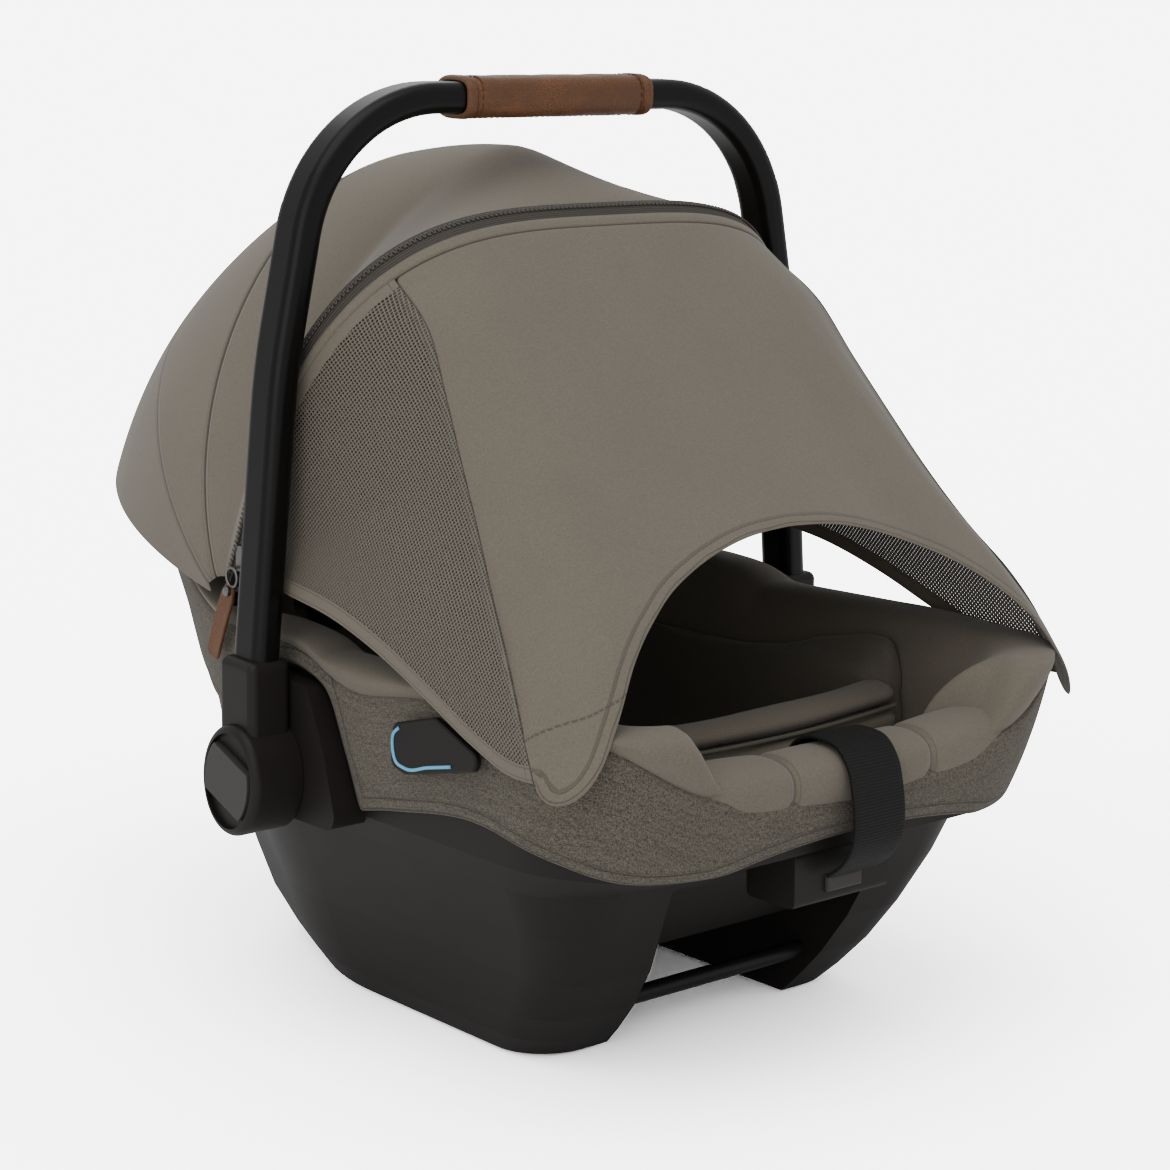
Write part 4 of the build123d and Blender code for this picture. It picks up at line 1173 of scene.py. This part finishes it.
class SEAT_OT_rim(bpy.types.Operator):
    """Rolls the knit over the rim and down the inside of the seat"""

    bl_idname = "seat.rim"
    bl_label = "Knit rim"

    def execute(self, context):
        outer, inner = Wall(SHELL), Wall(BUCKET, -24.0)
        plan = outer.plan
        top = cover_seam(plan)
        sill = ease(-262, -284, plan[:, 1]) * ease(119.6, 108, np.abs(plan[:, 0]))
        lift = mix(np.maximum(rim_height(plan[:, 1]) + 9 - top, 9), 5.0, sill)
        profile = (
            (0.0, -0.5, -2.4), (0.0, 3.6, 0.4), (0.24, 5.6, 3.0), (0.52, 5.6, 1.5),
            (0.76, 3.2, 0.5), (0.93, -3.0, 0.0), (1.0, -11.0, 0.0), (0.96, -19.0, 0.0),
        )
        rows = []
        for up, off, bias in profile:
            height = top + lift * up + bias * (1 - sill * 0.6)
            rows.append(outer.at(height, off - 3.2 * sill * (off > 0)))
        crest = rows[-1]
        on_wall = np.zeros(len(plan))
        low = inner.at(np.full(len(plan), 90.0), on_wall)
        level, upright = np.array((1, 1, 0)), np.array((0, 0, 1))
        count = 14
        for step in range(1, count + 1):
            share = step / count
            height = mix(crest[:, 2], low[:, 2], share**1.5)
            wall = inner.at(np.minimum(height, top + lift - 3), on_wall)
            wall[:, 2] = height
            inward = min(1.0, share * 3.2) ** 0.7
            rows.append(mix(crest * level, wall * level, inward) + wall * upright)
        for share in (0.3, 0.6, 0.85):
            rows.append(low * (1 - share, 1 - share, 1) + (0, -60 * share, -2.5))
        points = whole(rows)
        rim = lay_sheet("knit_rim", points, closed=True, away=(0, 0, -3000))
        seam_distance(rim, points, (0,))
        thicken(rim, 2.0)
        soften(rim, 60)
        dress(rim, finishes["padding"], "knit", "seat_pad")
        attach(rim, "seat")
        return {"FINISHED"}


ROLL_WELD = 0.0003
INSERT_BOW, INSERT_RISE = 7, 3
CLOTH_FRAMES = 20


def swell(name, node, voxel, cap, pressure=4.0, shrink=1.5):
    """Padded piece from a CAD node: its shape remeshed, blown up a little as cloth and smoothed."""
    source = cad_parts[node]
    piece = bpy.data.objects.new(name, source.data.copy())
    bpy.context.collection.objects.link(piece)
    piece.hide_viewport = piece.hide_render = False
    piece.data.materials.clear()
    weld(piece, 0.00005)
    apply_modifier(piece, "REMESH", mode="VOXEL", voxel_size=voxel / 1000)
    apply_modifier(piece, "SMOOTH", factor=0.5, iterations=4)
    apply_modifier(piece, "DISPLACE", strength=-shrink / 1000, mid_level=0.0)
    start = spots(piece)
    cloth = piece.modifiers.new("Cloth", "CLOTH")
    cloth.settings.use_pressure = True
    cloth.settings.uniform_pressure_force = pressure
    cloth.settings.effector_weights.gravity = 0
    cloth.settings.quality = 5
    scene = bpy.context.scene
    for step in range(1, CLOTH_FRAMES + 1):
        scene.frame_set(step)
    pick(piece)
    bpy.ops.object.modifier_apply(modifier=cloth.name)
    scene.frame_set(1)
    move = spots(piece) - start
    length = np.linalg.norm(move, axis=1)[:, None]
    move_spots(piece, start + move * np.minimum(1, cap / np.maximum(length, 1e-6)))
    apply_modifier(piece, "SMOOTH", factor=0.5, iterations=3)
    soften(piece, 80)
    return piece


def raise_wings(cushion, lift=13):
    """Raises the hip wings of the body insert toward the foot end."""
    place = spots(cushion)
    share = ease(-130, -176, place[:, 1]) * ease(192, 222, place[:, 2]) * ease(70, 88, np.abs(place[:, 0]))
    place[:, 2] += lift * share
    move_spots(cushion, place)


def weave_sides(cushion, half=100, slope=0.35):
    """Covers the outer sides of the body insert with the weave."""
    faces = cushion.data.polygons
    cushion.data.materials.append(finishes["side_weave"])
    across, normals = read(faces, "center", 3)[:, 0] * 1000, read(faces, "normal", 3)
    outside = (np.abs(across) > half) & (normals[:, 0] * np.sign(across) > slope)
    faces.foreach_set("material_index", np.where(outside, 1, 0))
    lay_cloth(cushion, cushion.data.uv_layers.new(name="cloth"), spots(cushion))


class SEAT_OT_inserts(bpy.types.Operator):
    """Fills the body insert, the head insert and the two shoulder pads"""

    bl_idname = "seat.inserts"
    bl_label = "Inserts"

    def execute(self, context):
        for name, node, voxel, cap, slot in (
            ("body_cushion", "body_insert", 5.0, 5.0, "knit"),
            ("head_cushion", "head_insert", 5.0, 6.0, "knit"),
            ("left_pad_sleeve", "left_shoulder_pad", 2.6, 2.5, "webbing"),
            ("right_pad_sleeve", "right_shoulder_pad", 2.6, 2.5, "webbing"),
        ):
            cushion = swell(name, node, voxel, cap)
            # The cushions get the darkened knit, which is partly painted shade.
            dress(cushion, finishes["dark_knit"], slot, node)
            if node == "body_insert":
                raise_wings(cushion)
                weave_sides(cushion)
            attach(cushion, "seat")
        return {"FINISHED"}


class SEAT_OT_lip(bpy.types.Operator):
    """Stuffs the two rolls along the front of the body insert, with piping between them"""

    bl_idname = "seat.lip"
    bl_label = "Insert front"

    def execute(self, context):
        across = np.linspace(-1, 1, 91)
        turns = np.linspace(0, 2 * pi, 33)
        for name, half, centre, deep, tall in (
            ("insert_upper_roll", 121.0, (-203.0, 183.5), 14.5, 7.0),
            ("insert_lower_roll", 122.0, (-205.0, 167.5), 13.5, 9.8),
        ):
            columns = []
            for share in across:
                close = np.sqrt(max(0.0, 1 - max(0.0, (abs(share) - 0.9) / 0.1002) ** 2))
                close = close * (1 + 0.05 * sin(share * 7))
                along, up = centre[0] + INSERT_BOW * share**2, centre[1] + INSERT_RISE * share**2
                columns.append([
                    (half * share, along + deep * close * cos(turn), up + tall * close * sin(turn))
                    for turn in turns
                ])
            roll = lay_sheet(name, np.array(columns), closed=True, away=(0, *centre))
            weld(roll, ROLL_WELD)
            soften(roll, 80)
            dress(roll, finishes["plain"], "knit")
            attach(roll, "seat")
        line = [
            (121 * share, -217.2 + INSERT_BOW * share**2, 177.2 + INSERT_RISE * share**2)
            for share in across * 0.95
        ]
        cord = piping("insert_piping", line, 1.3)
        # The piping gets the darkened knit, which is partly painted shade.
        dress(cord, finishes["dark_knit"], "knit")
        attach(cord, "seat")
        return {"FINISHED"}


class SEAT_OT_roll(bpy.types.Operator):
    """Stuffs the roll on the front sill, sewn across in two places"""

    bl_idname = "seat.roll"
    bl_label = "Front roll"

    def execute(self, context):
        half, power = 119, 0.82
        seams = (-52, 52)
        pillows = ((-124, -52), (-52, 52), (52, 124))
        across = np.linspace(-half, half, 181)
        turns = np.linspace(0, 2 * pi, 41)
        low, high = [np.array(corner) * 1000 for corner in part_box("front_roll")]
        centre_y, centre_z = (low[1] + high[1]) / 2, (low[2] + high[2]) / 2
        columns = []
        for x in across:
            pinch = sum(np.exp(-(((x - seam) / 3.2) ** 2)) for seam in seams)
            crown = sum(np.sin(np.clip((x - start) / (end - start), 0, 1) * pi) for start, end in pillows)
            close = np.sqrt(max(0.0, 1 - max(0, (abs(x) - 110) / 9.02) ** 2))
            depth = (20.5 - 2.0 * pinch + 0.8 * crown) * close
            tall = (15.4 - 2.4 * pinch + 1.5 * crown) * close
            along, up = centre_y + 5 * (x / half) ** 2, centre_z + 0.02 * abs(x)
            column = []
            for turn in turns:
                ahead, over = [np.sign(part) * abs(part) ** power for part in (cos(turn), sin(turn))]
                column.append((x, along + depth * ahead, up + tall * over))
            columns.append(column)
        roll = lay_sheet("front_roll_cushion", columns, closed=True, away=(0, centre_y, centre_z))
        weld(roll, ROLL_WELD)
        far = np.min([np.abs(spots(roll)[:, 0] - seam) for seam in seams], axis=0)
        note(roll, "seam", far / 1000)
        soften(roll, 80)
        dress(roll, finishes["padding"], "knit", "front_roll")
        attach(roll, "seat")
        return {"FINISHED"}


def strap(name, path, middle=0, count=80):
    """Flat webbing along a side-view path in mm, at a distance from the middle."""
    width, thick = WEBBING_WIDTH, WEBBING_THICK
    line = smooth_line(path, count)
    across = np.linspace(-width / 2, width / 2, 9)
    points = np.array([[(middle + x, y, z) for y, z in line] for x in across])
    ahead = np.gradient(line, axis=0)
    ahead /= np.linalg.norm(ahead, axis=1)[:, None]
    face = np.stack([np.zeros(len(line)), -ahead[:, 1], ahead[:, 0]], axis=1)
    points += face[None] * thick / 2
    band = lay_sheet(name, points, away=tuple(points.mean(axis=(0, 1)) - face.mean(axis=0) * 400))
    thicken(band, thick)
    apply_modifier(band, "BEVEL", width=0.0004, segments=2, limit_method="ANGLE")
    smooth(band, 50)
    return band


class SEAT_OT_straps(bpy.types.Operator):
    """Threads the harness webbing and the adjuster strap"""

    bl_idname = "seat.straps"
    bl_label = "Straps"

    def execute(self, context):
        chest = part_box("left_shoulder_strap")
        back, high = chest[1][1] * 1000, chest[1][2] * 1000
        path = [
            (-38, 123.2), (-4, 118), (30, 112.2), (62, 111.6), (86, 113), (106, 124), (128, 141),
            (142, 168), (back - 1.5, high - 0.6),
        ]
        for side, sign in SIDES:
            band = strap(f"{side}_harness_strap", path, 28 * sign)
            dress(band, finishes["webbing"], "webbing", f"{side}_shoulder_strap")
            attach(band, "seat")
        path = [(-138, 105.4), (-124, 106.6), (-114, 115), (-108.2, 124)]
        band = strap("crotch_webbing", path, count=30)
        dress(band, finishes["webbing"], "webbing", "crotch_strap")
        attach(band, "seat")
        path = [
            (-258, 176), (-262, 187), (-271, 193.4), (-284, 195), (-297, 192.5), (-305.5, 183),
            (-309.8, 168), (-311.5, 152), (-309.5, 139), (-303, 129), (-291, 119.5),
        ]
        band = strap("adjuster_webbing", path, count=110)
        dress(band, finishes["webbing"], "webbing", "adjuster_strap")
        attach(band, "seat")
        return {"FINISHED"}


def sleeve(name, rings):
    """Tube from rings of points in mm, each ring closed."""
    points = np.array(rings)
    tube = np.concatenate([points, points[:, :1]], axis=1)
    return lay_sheet(name, tube, closed=True, away=tuple(tube.mean(axis=(0, 1))))


def squircle(half_wide, half_tall, power, count=56):
    """Ring of a rounded rectangle: across and up."""
    turns = np.linspace(0, 2 * pi, count, endpoint=False)
    across = half_wide * np.sign(np.cos(turns)) * np.abs(np.cos(turns)) ** (2 / power)
    up = half_tall * np.sign(np.sin(turns)) * np.abs(np.sin(turns)) ** (2 / power)
    return np.stack([across, up], axis=1)


class SEAT_OT_grip(bpy.types.Operator):
    """Wraps the leather round the handle, rolled at both ends and sewn underneath"""

    bl_idname = "seat.grip"
    bl_label = "Leather grip"

    def execute(self, context):
        low, high = [np.array(corner) * 1000 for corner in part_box("handle_grip")]
        middle = (low + high) / 2
        half = high[0] - 8
        ends = np.array((0.9, 0.2, 0, 0.4, 1.6, 3.4, 5.2, 6.6, 7.4, 8.2, 9.2))
        across = np.concatenate([-half + ends, np.linspace(-half + 11, half - 11, 50), half - ends[::-1]])
        inset = (0.0, 0.4, 1.6, 3.4, 5.2, 6.6, 7.4, 8.2, 9.2, 11, 20)
        rolled = (0.6, 1.7, 2.9, 3.5, 3.4, 2.7, 1.5, 1.9, 2.5, 2.8, 3.0)
        grow = np.interp(half - np.abs(across), inset, rolled)
        grow[[0, -1]] = 0.1
        grow[[1, -2]] = 0.3
        lean = radians(1.5)
        rings = []
        for place, off in zip(across, grow):
            wave = 0.22 * np.sin(place / 5.3) + 0.16 * np.sin(place / 2.9 + 1)
            ring = squircle(14.2 + off + wave * 0.6, 9.2 + off + wave * 0.5, 3.4)
            turned = ring @ np.array([(cos(lean), sin(lean)), (-sin(lean), cos(lean))])
            rings.append(np.column_stack([np.full(len(ring), place), middle[1:] + turned]))
        grip = sleeve("leather_grip", rings)
        soften(grip, 70)
        dress(grip, finishes["leather"], "grip_leather", "handle_grip")
        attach(grip, "handle")
        deselect()
        bpy.ops.mesh.primitive_uv_sphere_add(segments=8, ring_count=5, radius=0.001, scale=(1.7, 0.42, 0.42))
        stitch = bpy.context.active_object
        bpy.ops.object.transform_apply(location=True, rotation=True, scale=True)
        frames = []
        for place in (-half + 10.2, half - 10.2):
            ring = squircle(17.1, 12.1, 3.4, 30)
            ahead = np.roll(ring, -1, axis=0) - np.roll(ring, 1, axis=0)
            for (y, z), (dy, dz) in zip(ring, ahead):
                length = np.hypot(dy, dz)
                axes = np.array([(0, dy / length, dz / length), (1, 0, 0), (0, -dz / length, dy / length)])
                frames.append((axes, (place, middle[1] + y, middle[2] + z)))
        for place in np.arange(-half + 14, half - 13, 4.2):
            for beside in (-3, 3):
                frames.append((np.eye(3), (place, middle[1] + beside, middle[2] - 12.1)))
        thread = repeat("grip_stitches", stitch, frames)
        smooth(thread, 80)
        dress(thread, finishes["thread"], "grip_leather")
        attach(thread, "handle")
        return {"FINISHED"}


class SEAT_OT_pull(bpy.types.Operator):
    """Hangs the leather pull on the zip's slider, with its ring and rivet"""

    bl_idname = "seat.pull"
    bl_label = "Zip pull"

    def execute(self, context):
        low, high = [np.array(corner) * 1000 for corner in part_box("zip_pull")]
        joint = np.array((21.5, 266.1))
        out = low[0] - 4.6
        lean = radians(25)
        down, side = np.array((sin(lean), -cos(lean))), np.array((cos(lean), sin(lean)))
        columns = []
        for share in np.linspace(-1, 1, 11):
            line = []
            for step in np.linspace(0, 1, 30):
                tip = np.sqrt(max(0.02, 1 - max(0, (step - 0.9) / 0.102) ** 2))
                wide = 6.2 * min(1.0, 0.62 + 2.2 * step) * tip
                place = joint + down * (13 + 51 * step) + side * share * wide
                bend = 1.6 * sin(step * 2.6) + 0.5 * share**2
                line.append((out + bend * -0.6, *place))
            columns.append(line)
        tab = lay_sheet("leather_pull", np.array(columns), away=(0, 40, 240))
        thicken(tab, 2.2)
        soften(tab, 50)
        dress(tab, finishes["leather"], "grip_leather", "zip_pull")
        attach(tab, "zip_pull")
        metal = []
        ring_place = joint + down * 7.5
        sideways = (0, pi / 2, 0)
        bpy.ops.mesh.primitive_torus_add(
            major_segments=40, minor_segments=10, major_radius=0.0056, minor_radius=0.0009, rotation=sideways,
            location=(out / 1000, ring_place[0] / 1000, ring_place[1] / 1000),
        )
        metal.append(bpy.context.active_object)
        rivet = joint + down * 17
        bpy.ops.mesh.primitive_cylinder_add(
            vertices=32, radius=0.0030, depth=0.0046, rotation=sideways,
            location=((out - 0.2) / 1000, rivet[0] / 1000, rivet[1] / 1000),
        )
        edit(bpy.context.active_object, (bpy.ops.mesh.bevel, {"offset": 0.0007, "segments": 3}))
        metal.append(bpy.context.active_object)
        for piece in metal:
            pick(piece)
            bpy.ops.object.transform_apply(location=True, rotation=True, scale=True)
        ring = join("pull_ring", metal)
        smooth(ring, 40)
        dress(ring, finishes["gunmetal"], "steel")
        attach(ring, "zip_pull")
        return {"FINISHED"}


class SEAT_OT_springs(bpy.types.Operator):
    """Copies in steel the spring behind each handle button from its CAD node; nothing here shortens it as the
    button goes in
    """

    bl_idname = "seat.springs"
    bl_label = "Button springs"

    def execute(self, context):
        for side, sign in SIDES:
            node = f"{side}_button_spring"
            spring = bpy.data.objects.new(f"{side}_coil_spring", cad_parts[node].data.copy())
            bpy.context.collection.objects.link(spring)
            spring.data.materials.clear()
            dress(spring, finishes["steel"], "steel", node)
            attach(spring, "handle")
            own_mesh(spring)
        return {"FINISHED"}


class SEAT_OT_guides(bpy.types.Operator):
    """Sets the blue belt line into each belt guide"""

    bl_idname = "seat.guides"
    bl_label = "Belt guide lines"

    def execute(self, context):
        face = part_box("left_belt_guide")[1][0] * 1000
        hook = [(-140, 201.5), (-135.2, 197.5), (-134.2, 189), (-137, 182.2), (-145, 180.0)]
        path = smooth_line([*hook, (-166, 184.6), (-186, 189.0)], 60)
        for side, sign in SIDES:
            line = np.column_stack([np.full(len(path), sign * (face + 0.05)), path])
            cord = piping(f"{side}_belt_line", line, 0.95)
            dress(cord, finishes["blue"], "guide_plastic")
            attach(cord, "seat")
        return {"FINISHED"}


class SEAT_OT_studio(bpy.types.Operator):
    """Pale floor, soft lights and the camera"""

    bl_idname = "seat.studio"
    bl_label = "Studio"

    def execute(self, context):
        studio = context.scene.seat_studio
        deselect()
        bpy.ops.mesh.primitive_plane_add(size=14, location=(0, 0, -0.0004))
        floor = bpy.context.active_object
        floor.name = "studio_floor"
        paint = Finish("floor_paint", Roughness=0.9, Specular_IOR_Level=0.1)
        tone = paint.place.noise(0.6, 1.0)
        paint.feed(Base_Color=tone.blend((0.93, 0.93, 0.93, 1), (0.96, 0.96, 0.96, 1)))
        floor.data.materials.append(paint.material)
        floor.is_shadow_catcher = True
        for name, place, aim, size, power in (
            ("key_light", (-0.7, -0.5, 2.4), (0, 0, 0.25), 2.2, studio.key),
            ("fill_light", (-2.2, -1.3, 1.0), (0, 0, 0.25), 1.8, studio.fill),
            ("rear_light", (1.0, 2.0, 1.8), (0, 0, 0.3), 1.6, studio.fill * 0.6),
        ):
            bpy.ops.object.light_add(type="AREA", location=place)
            light = bpy.context.active_object
            light.name = name
            light.data.energy = power
            light.data.size = size
            light.rotation_euler = (Vector(aim) - Vector(place)).to_track_quat("-Z", "Y").to_euler()
        world = context.scene.world or bpy.data.worlds.new("studio")
        context.scene.world = world
        world.use_nodes = True
        sky = world.node_tree.nodes["Background"]
        sky.inputs[0].default_value = (1, 1, 1, 1)
        path = world.node_tree.nodes.new("ShaderNodeLightPath")
        strength = world.node_tree.nodes.new("ShaderNodeMix")
        strength.inputs[2].default_value = studio.surround
        strength.inputs[3].default_value = studio.backdrop
        world.node_tree.links.new(path.outputs[0], strength.inputs[0])
        world.node_tree.links.new(strength.outputs[0], sky.inputs[1])
        turn = (radians(78.95), 0, radians(-39.68))
        bpy.ops.object.camera_add(location=(-1.0506, -1.3297, 0.5654), rotation=turn)
        camera = bpy.context.active_object
        camera.name = "photo_camera"
        camera.data.lens = studio.lens
        camera.data.sensor_width = 36
        camera.data.sensor_fit = "HORIZONTAL"
        context.scene.camera = camera
        return {"FINISHED"}


STEPS = (
    SEAT_OT_studio,
    SEAT_OT_finishes,
    SEAT_OT_canopy,
    SEAT_OT_bows,
    SEAT_OT_zip,
    SEAT_OT_drape,
    SEAT_OT_cover,
    SEAT_OT_rim,
    SEAT_OT_inserts,
    SEAT_OT_lip,
    SEAT_OT_roll,
    SEAT_OT_straps,
    SEAT_OT_grip,
    SEAT_OT_pull,
    SEAT_OT_springs,
    SEAT_OT_guides,
)


class SEAT_PT_panel(bpy.types.Panel):
    """Lists the steps that dress the seat"""

    bl_label = "Car seat"
    bl_idname = "SEAT_PT_panel"
    bl_space_type = "VIEW_3D"
    bl_region_type = "UI"
    bl_category = "Car seat"

    def draw(self, context):
        for group in ("seat_canopy", "seat_colours", "seat_studio"):
            box = self.layout.box()
            settings = getattr(context.scene, group)
            for name in settings.bl_rna.properties.keys():
                if name not in ("rna_type", "name"):
                    box.prop(settings, name)
        for step in STEPS:
            self.layout.operator(step.bl_idname)


GROUPS = {"seat_canopy": CanopySizes, "seat_colours": FabricColours, "seat_studio": StudioSettings}


def register():
    for name, group in GROUPS.items():
        bpy.utils.register_class(group)
        setattr(bpy.types.Scene, name, PointerProperty(type=group))
    for item in (*STEPS, SEAT_PT_panel):
        bpy.utils.register_class(item)


def unregister():
    for item in (SEAT_PT_panel, *reversed(STEPS)):
        bpy.utils.unregister_class(item)
    for name, group in GROUPS.items():
        delattr(bpy.types.Scene, name)
        bpy.utils.unregister_class(group)


def main():
    register()
    for step in STEPS:
        family, name = step.bl_idname.split(".")
        getattr(getattr(bpy.ops, family), name)()
    deselect()


if __name__ == "__main__":
    main()
